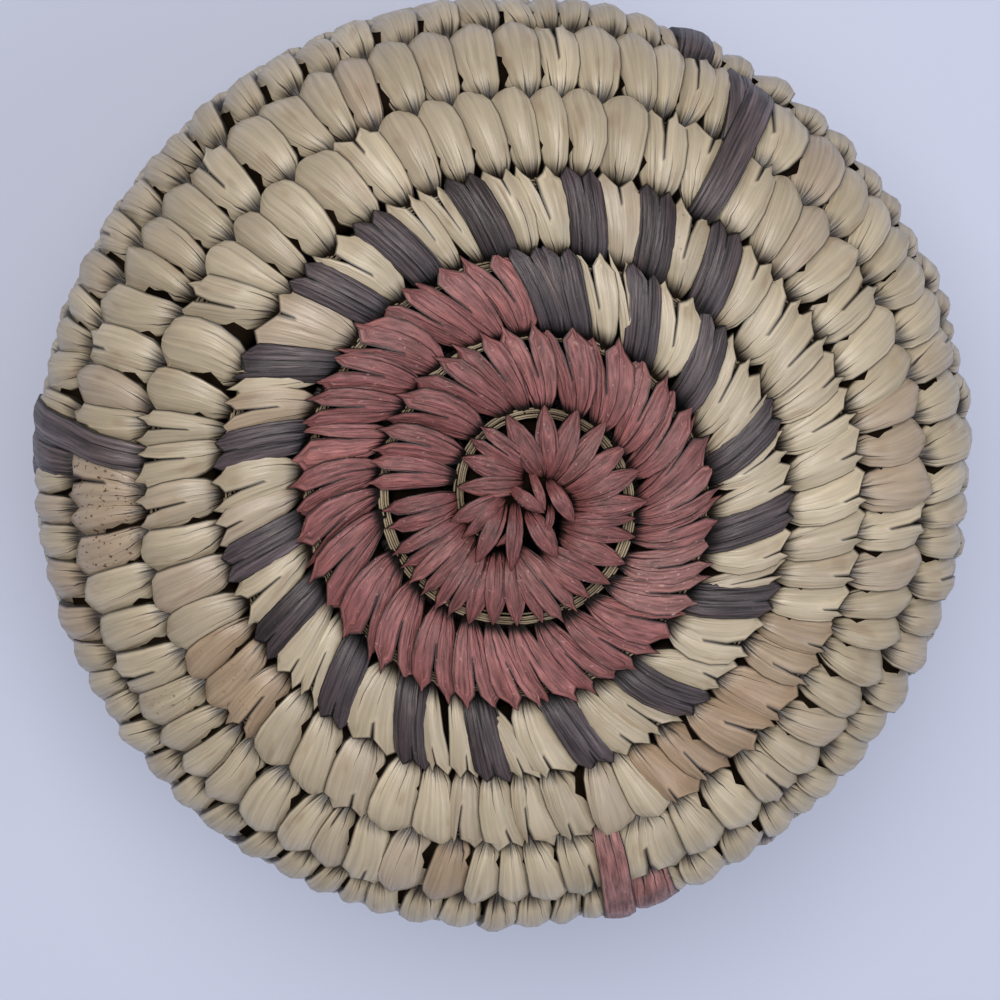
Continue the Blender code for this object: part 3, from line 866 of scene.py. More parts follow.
SHAPES = {
    Cut.FORKED: LeafShape(
        stations=(
            (-0.14, 0.28, 1.4), (-0.04, 0.37, 2.9), (0.08, 0.61, 4.1), (0.26, 0.92, 5.0),
            (0.54, 1.05, 5.5), (0.82, 1.07, 5.3), (1.00, 1.05, 5.0), (1.16, 0.96, 4.4),
        ),
        prongs=(
            Prong(slit=(0.014, 0.0), tip=(0.25, 0.0), side=(0.50, 0.0)),
            Prong(slit=(0.16, 0.08), tip=(0.29, 0.0), side=(0.42, 0.09)),
        ),
    ),
    Cut.DEEP: LeafShape(
        stations=(
            (-0.14, 0.28, 1.4), (-0.04, 0.36, 2.9), (0.08, 0.59, 4.1), (0.26, 0.89, 5.0),
            (0.50, 1.04, 5.5), (0.78, 1.08, 5.4), (0.98, 1.05, 5.0), (1.18, 0.94, 4.3),
        ),
        prongs=(
            Prong(slit=(0.008, 0.0), tip=(0.25, 0.0), side=(0.50, 0.0)),
            Prong(slit=(0.050, 0.0), tip=(0.27, 0.0), side=(0.49, 0.0)),
            Prong(slit=(0.20, 0.11), tip=(0.29, 0.0), side=(0.39, 0.12)),
        ),
    ),
    Cut.WHOLE: LeafShape(
        stations=(
            (-0.14, 0.26, 1.4), (-0.04, 0.34, 2.9), (0.08, 0.56, 4.1), (0.25, 0.85, 5.0),
            (0.52, 1.00, 5.5), (0.80, 1.07, 5.4), (0.98, 1.03, 5.0), (1.09, 0.86, 4.6), (1.16, 0.50, 4.2),
        ),
    ),
    Cut.POINTS: LeafShape(
        stations=(
            (-0.14, 0.32, 1.4), (-0.04, 0.44, 3.0), (0.07, 0.68, 4.2), (0.24, 0.92, 5.0),
            (0.48, 1.04, 5.5), (0.76, 1.08, 5.4), (0.97, 1.03, 5.0), (1.22, 0.94, 4.4),
        ),
        prongs=(
            Prong(slit=(0.012, 0.0), tip=(0.25, 0.0), side=(0.50, 0.0)),
            Prong(slit=(0.055, 0.0), tip=(0.27, 0.0), side=(0.48, 0.0)),
            Prong(slit=(0.22, 0.12), tip=(0.29, 0.0), side=(0.36, 0.13)),
        ),
    ),
    Cut.LANCET: LeafShape(
        stations=(
            (-0.05, 0.46, 2.8), (0.06, 0.66, 4.0), (0.22, 0.86, 4.9), (0.44, 1.00, 5.3),
            (0.66, 0.97, 5.3), (0.86, 0.74, 5.1), (1.03, 0.40, 4.8), (1.16, 0.06, 4.5),
        ),
    ),
    Cut.STRAIGHT: LeafShape(
        stations=(
            (-0.12, 0.50, 1.4), (-0.02, 0.80, 3.2), (0.10, 0.95, 4.6), (0.30, 1.00, 5.4),
            (0.58, 1.00, 5.6), (0.88, 1.00, 5.3), (1.02, 0.98, 5.0), (1.16, 0.90, 4.5),
        ),
        prongs=(
            Prong(slit=(0.012, 0.0), tip=(0.26, 0.0), side=(0.50, 0.0)),
            Prong(slit=(0.13, 0.06), tip=(0.32, 0.0), side=(0.45, 0.06)),
        ),
    ),
    Cut.EDGE: LeafShape(
        stations=(
            (-0.14, 0.34, 1.4), (-0.02, 0.50, 3.1), (0.12, 0.78, 4.4), (0.34, 0.98, 5.3),
            (0.66, 1.04, 5.1), (0.86, 1.04, 4.1), (0.97, 1.03, 2.4), (1.00, 1.02, -0.4),
        ),
        end_rim=0.3,
    ),
    Cut.BACK: LeafShape(
        stations=(
            (-0.10, 0.60, 2.0), (0.08, 0.85, 4.2), (0.40, 1.0, 5.0), (0.74, 1.02, 4.8),
            (1.06, 0.9, 2.4),
        ),
        columns=2, crown=0.45, pleat=0.0,
    ),
    Cut.LONG: LeafShape(
        stations=(
            (-0.10, 0.70, 1.4), (0.00, 0.86, 3.4), (0.12, 0.94, 5.0), (0.34, 1.00, 5.8), (0.60, 1.00, 6.1),
            (0.84, 1.00, 5.9), (1.00, 1.00, 5.7), (1.16, 1.00, 5.8), (1.42, 1.00, 6.1), (1.74, 1.00, 5.9),
            (1.96, 0.99, 5.2), (2.12, 0.95, 3.8), (2.24, 0.90, 2.0),
        ),
        crown=0.4, thickness=0.7,
    ),
}


@dataclass
class Stitch:
    """One strip of leaf: where its ends lie along the coil, and how it was cut and laid."""

    inner: float
    outer: float
    width: float
    cut: Cut = Cut.FORKED
    tone: float = 0.3
    soil: float = 0.0
    fork: float = 0.0
    tilt: float = 0.0
    lip: float = 0.0
    flare: float = 0.0
    raise_by: float = 0.0
    bow: float = 0.0
    plump: float = 0.0
    bare: float = 0.0
    colour: str = "natural"
    node: str = ""

    @property
    def middle(self) -> float:
        """Place along the coil of the strip's middle."""
        return (self.inner + self.outer) / 2.0


@dataclass(frozen=True)
class Mark:
    """A strip whose place is fixed because it belongs to the pattern."""

    colour: str
    cut: Cut
    node: str = ""
    outer: Optional[float] = None
    width: Optional[float] = None


@dataclass(frozen=True)
class Blemish:
    """Strips of another shade or with brown spots, between two places along the coil."""

    first: float
    last: float
    tone: float
    soil: float = 0.0


@dataclass(frozen=True)
class Petal:
    """A strip of the centre, where the coil is too tight to carry the rows' own plan.

    Both ends are right and up of the lid's axis in millimetres, as is the width.
    """

    inner: tuple[float, float]
    outer: tuple[float, float]
    width: float
    rise: float = 0.0

    @property
    def turns(self) -> float:
        """Place along the lid's coil of the outer end, with the start of the coil below zero."""
        turned = (math.pi - math.atan2(self.outer[1], self.outer[0])) / TURN
        return turned - 1.0 if self.rise > 0.0 else turned


# Shares of a leaf shape at which a petal comes out of its hole and ends
PETAL_START = -0.05
PETAL_END = 1.16
# Centre of the lid, read one by one: the first row's petals and then the ends tucked in over them
PETALS = (
    Petal((0.0, 2.4), (-10.2, 2.2), 3.0), Petal((-0.2, 3.4), (-9.6, 6.6), 3.2),
    Petal((0.5, 4.6), (-7.4, 10.2), 3.6), Petal((2.4, 3.2), (-3.0, 12.8), 3.4),
    Petal((3.2, 3.6), (2.5, 14.3), 3.1), Petal((3.4, 2.8), (7.5, 13.6), 3.4),
    Petal((4.2, 2.1), (11.7, 11.7), 3.0), Petal((5.5, 1.2), (14.9, 8.2), 3.2),
    Petal((6.6, 0.0), (16.9, 4.4), 3.3), Petal((6.8, -1.4), (18.0, -0.4), 3.1),
    Petal((5.4, -2.8), (16.2, -2.9), 2.2), Petal((5.2, -3.8), (16.2, -5.7), 2.8),
    Petal((5.0, -5.6), (14.7, -9.7), 3.3), Petal((2.2, -7.0), (12.5, -12.7), 2.9),
    Petal((2.0, -8.4), (9.4, -14.8), 2.5), Petal((-1.4, -7.4), (6.4, -17.4), 4.1),
    Petal((-1.8, -7.6), (2.4, -18.4), 2.6), Petal((-2.2, -7.8), (-1.4, -18.8), 3.1),
    Petal((-4.2, -7.8), (-5.0, -18.6), 3.2), Petal((-5.4, -8.2), (-8.6, -18.4), 3.2),
    Petal((-6.6, -6.4), (-12.7, -16.6), 3.6), Petal((-7.8, -4.2), (-16.4, -12.8), 4.2),
    Petal((-8.8, -2.4), (-19.0, -8.6), 3.8), Petal((-9.8, 0.2), (-20.6, -2.4), 4.4),
    Petal((-3.0, 0.9), (-11.4, -2.8), 2.8, 0.5), Petal((-3.2, 0.5), (-9.7, -5.4), 2.0, 0.5),
    Petal((-3.3, -0.2), (-7.6, -9.0), 2.6, 0.7), Petal((-1.6, -0.2), (-2.4, -10.3), 2.3, 0.8),
    Petal((0.2, -1.4), (4.4, -8.4), 3.0, 0.9), Petal((3.2, 3.0), (6.9, -3.2), 2.3, 1.0),
    Petal((-2.6, 2.2), (2.5, -1.6), 2.0, 1.5), Petal((0.6, 4.4), (2.6, -1.3), 1.4, 1.3),
    Petal((3.6, -0.4), (2.8, -4.8), 1.2, 1.2), Petal((-0.4, -3.2), (-4.6, -6.6), 1.3, 0.4),
)
# A petal starts with the first share of its rise, which grows with its length at this rate
RISE_START = 0.3
RISE_RATE = 6.0
# The two sides of a split strip step apart at this rate along it, less a start
LIP_RATE, LIP_START = 2.0, 0.9
# A strip's sides follow the length of a turn at its own middle by this share, and else each
# point's own
FAN_SHARE = 0.35
# Share of its own height that a strip keeps where it is pressed flat on the floor
PRESSED = 0.02
# Millimetres of fibre pattern, out of which each strip takes its own part
PATTERN_RANGE = 400.0


class Sewing:
    """Lays copies of the leaf shapes over a coil and joins them into named pieces."""

    def __init__(self, seed: int) -> None:
        """Models each leaf shape once.

        Args:
            seed: Start of the random draws for the fibre pattern.
        """
        self.random = np.random.default_rng(seed)
        self.masters = {cut: shape.build(f"leaf_{cut.value}") for cut, shape in SHAPES.items()}
        self.points = {}
        self.sides = {}
        for cut, strip in self.masters.items():
            self._prepare(strip)
            places = np.empty(len(strip.data.vertices) * 3)
            strip.data.vertices.foreach_get("co", places)
            self.points[cut] = places.reshape(-1, 3)
            sides = np.empty(len(strip.data.vertices))
            strip.data.attributes["across"].data.foreach_get("value", sides)
            self.sides[cut] = sides

    @staticmethod
    def _prepare(strip: bpy.types.Object) -> None:
        """Gives a leaf shape its empty fibre UV map and leaf attribute.

        Args:
            strip: Leaf shape.
        """
        while strip.data.uv_layers:
            strip.data.uv_layers.remove(strip.data.uv_layers[0])
        strip.data.uv_layers.new(name="fibre")
        strip.data.attributes.new("leaf", "FLOAT_VECTOR", "POINT")

    def discard_masters(self) -> None:
        """Removes the leaf shapes once every strip is laid."""
        for strip in self.masters.values():
            bpy.data.objects.remove(strip, do_unlink=True)

    def lay(
        self, name: str, stitches: Iterable[Stitch], spiral: Spiral, material: bpy.types.Material,
        inside: bool = False, floor: Optional[float] = None,
    ) -> bpy.types.Object:
        """Lays a copy of a leaf shape for each stitch and joins the copies.

        Args:
            name: Name of the joined piece.
            stitches: Strips to lay.
            spiral: Coil that carries them.
            material: Finish of the piece.
            inside: True to lay them on the inner side of the coil.
            floor: Lowest level that a strip may reach, where the basket rests.

        Returns:
            The joined piece.
        """
        copies = []
        for stitch in stitches:
            across, along, lift = self._shape(stitch)
            places = self._places(stitch, across, along, lift, spiral, inside)
            if floor is not None:
                places[:, 2] = np.maximum(places[:, 2], floor + PRESSED * (lift - lift.min()))
            copies.append(self._copy(stitch, along, places))
        return self._join(name, copies, material, inside)

    def lay_petals(
        self, name: str, petals: Iterable[tuple[Petal, Stitch]], spiral: Spiral,
        material: bpy.types.Material,
    ) -> bpy.types.Object:
        """Lays strips straight from end to end over the centre of the lid and joins them.

        Args:
            name: Name of the joined piece.
            petals: Each petal's ends and the look of its strip.
            spiral: Coil that carries them.
            material: Finish of the piece.

        Returns:
            The joined piece.
        """
        copies = []
        for petal, stitch in petals:
            across, along, lift = self._shape(stitch)
            share = (along - PETAL_START) / (PETAL_END - PETAL_START)
            start, end = np.array(petal.inner) * MM, np.array(petal.outer) * MM
            run = end - start
            beside = np.array((run[1], -run[0])) / np.linalg.norm(run)
            flat = start + share[:, None] * run + (across * stitch.width)[:, None] * beside
            radius = np.hypot(flat[:, 0], flat[:, 1])
            rise = petal.rise * MM * np.clip(share * RISE_RATE, RISE_START, 1.0)
            rise = rise + stitch.tilt * across * stitch.width
            places = spiral.over(radius, np.arctan2(flat[:, 1], flat[:, 0]), lift + rise)
            copies.append(self._copy(stitch, along, places))
        return self._join(name, copies, material, False)

    def _shape(self, stitch: Stitch) -> tuple[np.ndarray, np.ndarray, np.ndarray]:
        """Bends the leaf shape of one strip as the strip was cut and laid.

        Args:
            stitch: The strip.

        Returns:
            Share across and along the strip and lift of each vertex.
        """
        shape = self.points[stitch.cut]
        across, along, lift = shape[:, 0], shape[:, 1], shape[:, 2]
        share = 1.0 - 2.0 * np.abs(np.clip(across, -0.5, 0.5))
        drawn = across + stitch.fork * share * np.clip(along, 0.0, 1.0)
        apart = np.clip(LIP_RATE * along - LIP_START, 0.0, 1.0)
        split = np.sign(self.sides[stitch.cut]) * apart
        edge = (2.0 * self.sides[stitch.cut]) ** 2
        return drawn, along, lift + stitch.lip * split - stitch.plump * edge

    @staticmethod
    def _places(
        stitch: Stitch, across: np.ndarray, along: np.ndarray, lift: np.ndarray, spiral: Spiral,
        inside: bool,
    ) -> np.ndarray:
        """Lays one strip over its coil.

        Args:
            stitch: The strip.
            across: Share across the strip of each vertex.
            along: Share along it.
            lift: Height over the coil's centre line.
            spiral: Coil that carries it.
            inside: True to lay it on the inner side.

        Returns:
            One row of x, y and z for each vertex.
        """
        middle = stitch.inner + (stitch.outer - stitch.inner) * along
        middle = middle + stitch.bow * np.sin(np.pi * np.clip(along, 0.0, 1.0))
        reach = spiral.around(stitch.middle, 0.5)
        distance = spiral.edge(middle) - ROW_PITCH * (1.0 - along)
        here = TURN * np.maximum(spiral.radius(distance), LEAST_STRIP_RADIUS)
        fan = FAN_SHARE * reach + (1.0 - FAN_SHARE) * here
        width = stitch.width * (1.0 + stitch.flare * (2.0 * along - 1.0))
        turns = middle + across * width / fan
        size = spiral.taper(turns)
        raised = (lift + stitch.raise_by + stitch.tilt * across * stitch.width) * size
        side = -1.0 if inside else 1.0
        return spiral.point(turns, along * size, side * raised)

    def _copy(self, stitch: Stitch, along: np.ndarray, places: np.ndarray) -> bpy.types.Object:
        """Makes one strip of its own, with its fibre plan and leaf values.

        Args:
            stitch: The strip.
            along: Share along the strip of each vertex.
            places: World points of its vertices.

        Returns:
            The strip, linked to the scene.
        """
        mesh = self.masters[stitch.cut].data.copy()
        mesh.vertices.foreach_set("co", places.ravel())
        start = self.random.uniform(0.0, PATTERN_RANGE, 2)
        plan = np.column_stack((
            self.sides[stitch.cut] * stitch.width / MM + start[0], along * ROW_PITCH / MM + start[1],
        ))
        corner = np.empty(len(mesh.loops), dtype=np.int32)
        mesh.loops.foreach_get("vertex_index", corner)
        mesh.uv_layers["fibre"].data.foreach_set("uv", plan[corner].ravel())
        values = np.column_stack((
            np.full(len(along), stitch.tone), along + stitch.bare, np.full(len(along), stitch.soil),
        ))
        mesh.attributes["leaf"].data.foreach_set("vector", values.ravel())
        strip = bpy.data.objects.new("strip", mesh)
        bpy.context.scene.collection.objects.link(strip)
        return strip

    @staticmethod
    def _join(
        name: str, copies: list[bpy.types.Object], material: bpy.types.Material, flip: bool,
    ) -> bpy.types.Object:
        """Joins strips into one named piece.

        Args:
            name: Name of the piece.
            copies: The strips.
            material: Finish of the piece.
            flip: True to turn its faces round, for strips on the inner side.

        Returns:
            The piece.
        """
        deselect_all()
        for strip in copies:
            strip.select_set(True)
        bpy.context.view_layer.objects.active = copies[0]
        if len(copies) > 1:
            bpy.ops.object.join()
        piece = bpy.context.view_layer.objects.active
        piece.name = name
        piece.data.name = name
        piece.data.materials.clear()
        piece.data.materials.append(material)
        if flip:
            piece.data.flip_normals()
        return piece


# Narrowest and widest strip, and how much wider than its place a strip is
LEAST_WIDTH = 2.2 * MM
MOST_WIDTH = 9.5 * MM
OVERLAP = 1.12
# Share of a fixed strip's width at which its neighbours end, over or beside its middle
UNDER_LONG = 0.05
UNDER_STRAIGHT = 0.42
# Turns up to which split ends are sharp, turns up to which a stitch goes through the one below
# it, and how much deeper than its shape a strip's sides lie, in millimetres
POINTED_UNTIL = 2.35
SPLIT_UNTIL = 3.3
PLUMPNESS = ((2.2, 2.5, 3.4, 4.6), (-0.25, 0.1, 0.3, 0.75))
# Least difference between two places along a coil
JUST_AFTER = 1e-9
# In pitches: spread of the outer ends, shares between which a pitch is drawn, how near a fixed
# strip comes next, and the nearest and furthest hole that the next strip may come out of
END_JITTER = 0.10
PITCH_DRAW = (0.9, 1.12)
MARK_REACH = 1.3
NEAREST_HOLE = 0.45
FURTHEST_HOLE = 3.0
# Newest strips whose outer ends aren't settled yet, and the share of a strip that has to be owed
# before two of them share one step
UNSETTLED = 4
OWED = 0.5
# Turns over which strips go from coming out through a strip to coming out halfway to the next
BESIDE_RUN = 0.6
HALFWAY = 0.5
# Weights of a strip and its neighbours when outer ends are evened out
SMOOTHING = ((-2, 1.0), (-1, 2.0), (0, 3.0), (1, 2.0), (2, 1.0))
# How much of the room at its outer end a strip fans out into, and how far it may
FLARE_SHARE = 0.7
FLARE_LIMITS = (-0.25, 0.3)
# Raise and tilt of a strip of the pattern. Strips of the marks at the edge have a raise, a
# fullness and a tone of their own, and this much less of them is in the painted shade of its hole
MARK_RAISE, MARK_TILT = 0.35 * MM, 0.05
EDGE_RAISE, EDGE_PLUMP = 0.6 * MM, 0.1 * MM
EDGE_BARE, EDGE_TONE = 0.06, 0.95
# Share of the splits that are deep, how far off its middle a strip can be split, the same for a
# straight strip, and the mean and spread of a whole strip's lean
DEEP_SHARE = 0.45
SPLIT_REACH = 0.36
STRAIGHT_REACH = 0.3
WHOLE_LEAN = (0.08, 0.12)
# Mean, spread and limits of a strip's tone, the turns between which the tilt changes and its
# spread, and the spreads of lip, raise and bow in millimetres
TONE_DRAW = (0.30, 0.17)
TONE_LIMITS = (0.0, 0.64)
TILT_TURNS = (3.4, 4.6)
TILT_SPREAD = 0.06
LIP_SPREAD, RAISE_SPREAD, BOW_SPREAD = 0.12, 0.2, 0.25


@dataclass
class RowPlan:
    """Works out where every stitch of a coil goes, each one through the stitch below it."""

    spiral: Spiral
    first: float
    last: float
    pitch: float
    seed: int
    lean: Callable[[float], float]
    leaders: tuple[float, ...] = ()
    fixed: dict[float, Mark] = field(default_factory=dict)
    blemishes: tuple[Blemish, ...] = ()
    pointed_until: float = 0.0
    tilt: tuple[float, float] = (0.12, 0.12)

    def stitches(self) -> list[Stitch]:
        """Walks the coil from its first turn to its last.

        Returns:
            The stitches in the order they were sewn.
        """
        draw = np.random.default_rng(self.seed)
        inner: list[float] = []
        jitter: list[float] = []
        turns, parent, debt = self.first, 0, 0.0
        marks = sorted(self.fixed)
        while turns < self.last:
            inner.append(turns)
            jitter.append(float(draw.normal(0.0, END_JITTER)))
            around = self.spiral.around(turns)
            pitch = self.pitch * float(draw.uniform(*PITCH_DRAW)) / around
            ahead = [mark for mark in marks if mark > turns + JUST_AFTER]
            if ahead and ahead[0] - turns < MARK_REACH * self.pitch / around:
                turns = ahead[0]
                continue
            sewn = len(self.leaders) + len(inner)
            nearest = turns + NEAREST_HOLE * pitch
            while parent < sewn - 1 and self._hole(inner, jitter, parent) <= nearest:
                parent += 1
            step, gap = pitch, math.inf
            if parent < sewn - UNSETTLED:
                gap = self._hole(inner, jitter, parent) - turns
            if gap < FURTHEST_HOLE * pitch:
                step = gap
                debt += step / pitch - 1.0
                if debt > OWED:
                    step /= 2.0
                    debt -= 1.0
            if turns in self.fixed and self.fixed[turns].width:
                step = min(step, pitch)
            turns = min([turns + step] + ahead[:1])
        before = len(self.leaders)
        made = [
            Stitch(inner=place, outer=self._outer(inner, jitter, before + number), width=self.pitch)
            for number, place in enumerate(inner)
        ]
        self._hands(made, draw)
        self._pattern(made)
        self._widths(made)
        self._forks(made, draw)
        return made

    def _hole(self, inner: list[float], jitter: list[float], place: int) -> float:
        """Place at which the next row's stitch comes out: through a stitch, or beside it further out.

        Args:
            inner: Inner ends of the stitches so far.
            jitter: Stray of each one's outer end.
            place: Number of the stitch, with the leaders first.

        Returns:
            Turns along the coil.
        """
        here, after = (self._outer(inner, jitter, place + step) for step in (0, 1))
        beside = min(max((here - SPLIT_UNTIL) / BESIDE_RUN, 0.0), 1.0)
        return here + 1.0 + HALFWAY * beside * (after - here)

    def _pattern(self, made: list[Stitch]) -> None:
        """Gives the strips at fixed places their colour and ends.

        Args:
            made: The coil's stitches.
        """
        for stitch in made:
            mark = self.fixed.get(stitch.inner)
            if mark:
                stitch.colour, stitch.cut, stitch.node = mark.colour, mark.cut, mark.node
                stitch.raise_by, stitch.tilt = MARK_RAISE, MARK_TILT
            if mark and mark.outer:
                stitch.outer, stitch.tilt = mark.outer, 0.0
                stitch.raise_by, stitch.plump = EDGE_RAISE, EDGE_PLUMP
                stitch.bare, stitch.tone = EDGE_BARE, EDGE_TONE
            for blemish in self.blemishes:
                if blemish.first <= stitch.middle <= blemish.last:
                    stitch.tone, stitch.soil = blemish.tone, blemish.soil
        for stitch, after in zip(made, made[1:]):
            if after.inner in self.fixed:
                stitch.tilt = min(stitch.tilt, 0.0)

    def _outer(self, inner: list[float], jitter: list[float], place: int) -> float:
        """Place of a stitch's outer end: evened out with its neighbours, and leaning back.

        Args:
            inner: Inner ends of the stitches so far.
            jitter: Stray of each one's outer end.
            place: Number of the stitch, with the leaders first.

        Returns:
            Turns along the coil.
        """
        if place < len(self.leaders):
            return self.leaders[place]
        number = place - len(self.leaders)
        total, weight = 0.0, 0.0
        for step, share in SMOOTHING:
            other = number + step
            if 0 <= other < len(inner) and (step == 0 or inner[number] not in self.fixed):
                total += share * (inner[other] - inner[number])
                weight += share
        middle = inner[number] + total / weight
        around = self.spiral.around(middle, 1.0)
        back = math.tan(math.radians(self.lean(middle))) * ROW_PITCH / around
        return middle - back + jitter[number] * self.pitch / around

    def _widths(self, made: list[Stitch]) -> None:
        """Sets each width and shifts each middle so that neighbours meet and overlap a little.

        Args:
            made: The coil's stitches.
        """
        shifts = []
        for number, stitch in enumerate(made):
            mark = self.fixed.get(stitch.inner)
            if mark and mark.width:
                stitch.width = mark.width
                shifts.append((0.0, 0.0))
                continue
            around = self.spiral.around(stitch.middle)
            rim = self.spiral.around(stitch.outer, 1.0)
            before, after = made[max(number - 1, 0)], made[min(number + 1, len(made) - 1)]
            if before is stitch:
                before = self._mirrored(after, stitch)
            if after is stitch:
                after = self._mirrored(before, stitch)
            left = self._half(before, (stitch.middle - before.middle) * around)
            right = self._half(after, (after.middle - stitch.middle) * around)
            outer_left = self._half(before, (stitch.outer - before.outer) * rim)
            outer_right = self._half(after, (after.outer - stitch.outer) * rim)
            stitch.width = (left + right) * OVERLAP
            room = FLARE_SHARE * ((outer_left + outer_right) / (left + right) - 1.0)
            stitch.flare = float(np.clip(room, *FLARE_LIMITS))
            free = 0.0 if mark else 1.0
            outer = free * (outer_right - outer_left) / 2.0 / rim
            shifts.append((free * (right - left) / 2.0 / around, outer))
        for stitch, (middle, outer) in zip(made, shifts):
            stitch.outer += outer
            stitch.bow += middle - outer / 2.0

    @staticmethod
    def _mirrored(stitch: Stitch, about: Stitch) -> Stitch:
        """Stitch as far to the other side of a stitch, for the missing neighbour of the first or last."""
        inner, outer = 2.0 * about.inner - stitch.inner, 2.0 * about.outer - stitch.outer
        return replace(stitch, inner=inner, outer=outer)

    def _half(self, neighbour: Stitch, distance: float) -> float:
        """Width of a strip towards one neighbour: to the halfway line, or under a fixed strip.

        Args:
            neighbour: Strip on that side.
            distance: Distance between the two strips' middles.

        Returns:
            Half width.
        """
        mark = self.fixed.get(neighbour.inner)
        if mark and mark.width:
            share = UNDER_LONG if mark.cut is Cut.LONG else UNDER_STRAIGHT
            return min(max(distance - share * mark.width, LEAST_WIDTH / 2.0), MOST_WIDTH)
        return min(max(distance / 2.0, LEAST_WIDTH / 2.0), MOST_WIDTH / 2.0)

    def _forks(self, made: list[Stitch], draw: np.random.Generator) -> None:
        """Splits each stitch where the next row's stitch goes through it.

        Args:
            made: The coil's stitches.
            draw: Random draws.
        """
        for stitch in made:
            if stitch.cut is Cut.LONG:
                continue
            around = self.spiral.around(stitch.outer, 1.0)
            offset = self.offset(stitch.outer, made) * around / stitch.width
            forked = Cut.DEEP if draw.uniform() < DEEP_SHARE else Cut.FORKED
            if stitch.outer < self.pointed_until:
                forked = Cut.POINTS
            if stitch.inner > self.last - 1.0:
                stitch.cut, stitch.fork = Cut.EDGE, 0.0
            elif stitch.cut is Cut.STRAIGHT:
                stitch.fork = min(max(offset, -STRAIGHT_REACH), STRAIGHT_REACH)
            elif abs(offset) < SPLIT_REACH:
                stitch.cut, stitch.fork = forked, offset
            elif stitch.outer < self.pointed_until:
                stitch.cut, stitch.fork = Cut.LANCET, 0.0
            else:
                stitch.cut, stitch.fork = Cut.WHOLE, float(draw.normal(*WHOLE_LEAN))

    @staticmethod
    def offset(outer: float, made: list[Stitch]) -> float:
        """Turns from an outer end to the nearest stitch of the next row."""
        return min((stitch.inner - 1.0 - outer for stitch in made), key=abs)

    def _hands(self, made: list[Stitch], draw: np.random.Generator) -> None:
        """Gives each strip the small differences of hand work.

        Args:
            made: The coil's stitches.
            draw: Random draws.
        """
        for stitch in made:
            tilt = np.interp(stitch.middle, TILT_TURNS, self.tilt)
            stitch.tone = float(np.clip(draw.normal(*TONE_DRAW), *TONE_LIMITS))
            stitch.tilt = float(draw.normal(tilt, TILT_SPREAD))
            stitch.lip = float(draw.normal(0.0, LIP_SPREAD)) * MM
            stitch.raise_by = float(draw.normal(0.0, RAISE_SPREAD)) * MM
            bow = float(draw.normal(0.0, BOW_SPREAD)) * MM
            stitch.bow = bow / self.spiral.around(stitch.middle)
            stitch.plump = float(np.interp(stitch.middle, *PLUMPNESS)) * MM


# Lean of the lid's stitches: turns along the coil, and degrees
LID_LEAN = ((0.5, 2.0, 3.0, 3.6, 4.6, 6.0), (32.0, 32.0, 27.0, 18.0, 11.0, 7.0))


def lid_lean(turns: float) -> float:
    """Lean of the lid's stitches from the radial direction, in degrees.

    Args:
        turns: Place along the coil.

    Returns:
        Degrees, from the steep red centre to the nearly straight rim.
    """
    return float(np.interp(turns, *LID_LEAN))


def backs(made: Sequence[Stitch]) -> list[Stitch]:
    """Strips as they show on the inner side of a coil, where only the last row is cut to shape."""
    return [replace(stitch, cut=Cut.EDGE if stitch.cut is Cut.EDGE else Cut.BACK) for stitch in made]


# Lean of the body's and the neck's stitches in degrees
BODY_LEAN = 10.0
NECK_LEAN = 8.0
# Turns between the last stitch and the end of its coil, and between the last petal and the first
# stitch
SHORT_OF_END = 0.02
AFTER_PETALS = 0.07
# Tilt of the lid's strips in its middle rows and in its outer ones
LID_TILT = (0.15, 0.25)
# Dark stitches of the ring, read as degrees anticlockwise from the right, on the row that
# passes the left side after these turns
DARK_ANGLES = (
    85.5, 79.0, 56.8, 37.3, 13.8, -7.8, -27.3, -55.4, -77.8, -99.1, -117.4,
    -135.8, -154.7, -170.8, -193.5, -211.9, -228.6, -243.5, -261.3, -281.4, -295.7, -310.1,
)
RING_FROM = 2.0
RING_WIDTH = 5.7 * MM

# Strips of the three marks at the edge, by their inner ends in turns along the lid's coil
EDGE_MARKS = {
    4.338: Mark("dark", Cut.LONG, "lid_motif_upper_right_long_stitch", 4.338, 4.4 * MM),
    5.3385: Mark("dark", Cut.STRAIGHT, "lid_motif_upper_right_side_stitch", 5.3315, 5.6 * MM),
    6.313: Mark("dark", Cut.STRAIGHT, "lid_motif_upper_right_low_stitch", 6.311, 5.4 * MM),
    4.7125: Mark("red", Cut.LONG, "lid_motif_lower_right_long_stitch", 4.7125, 4.4 * MM),
    5.7: Mark("red", Cut.STRAIGHT, "lid_motif_lower_right_side_stitch", 5.698, 7.4 * MM),
    5.018: Mark("dark", Cut.LONG, "lid_motif_left_long_stitch", 5.0215, 4.3 * MM),
    6.0133: Mark("dark", Cut.STRAIGHT, "lid_motif_left_side_stitch", 6.0133, 5.6 * MM),
    7.006: Mark("dark", Cut.STRAIGHT, "lid_motif_left_low_stitch", 7.006, 6.3 * MM),
}
# Tan, pinkish and spotted strips of the lid, read one by one
LID_BLEMISHES = (
    Blemish(1.57, 1.64, 0.9, 0.25),
    Blemish(3.05, 3.08, 0.70), Blemish(3.33, 3.35, 0.40, 0.5),
    Blemish(3.57, 3.61, 0.74, 0.1), Blemish(3.61, 3.68, 0.82, 0.2), Blemish(3.895, 3.935, 0.78, 0.4),
    Blemish(4.46, 4.50, 0.66), Blemish(4.77, 4.785, 0.76, 0.3), Blemish(4.91, 4.925, 0.45, 0.6),
    Blemish(4.97, 5.013, 0.68, 1.0), Blemish(5.95, 5.98, 0.68), Blemish(6.88, 6.955, 0.72, 0.1),
)
# Petals of the first row, and how much fuller they lie than the part that shows
ROW_PETALS = 24
PETAL_FULLNESS = 1.12
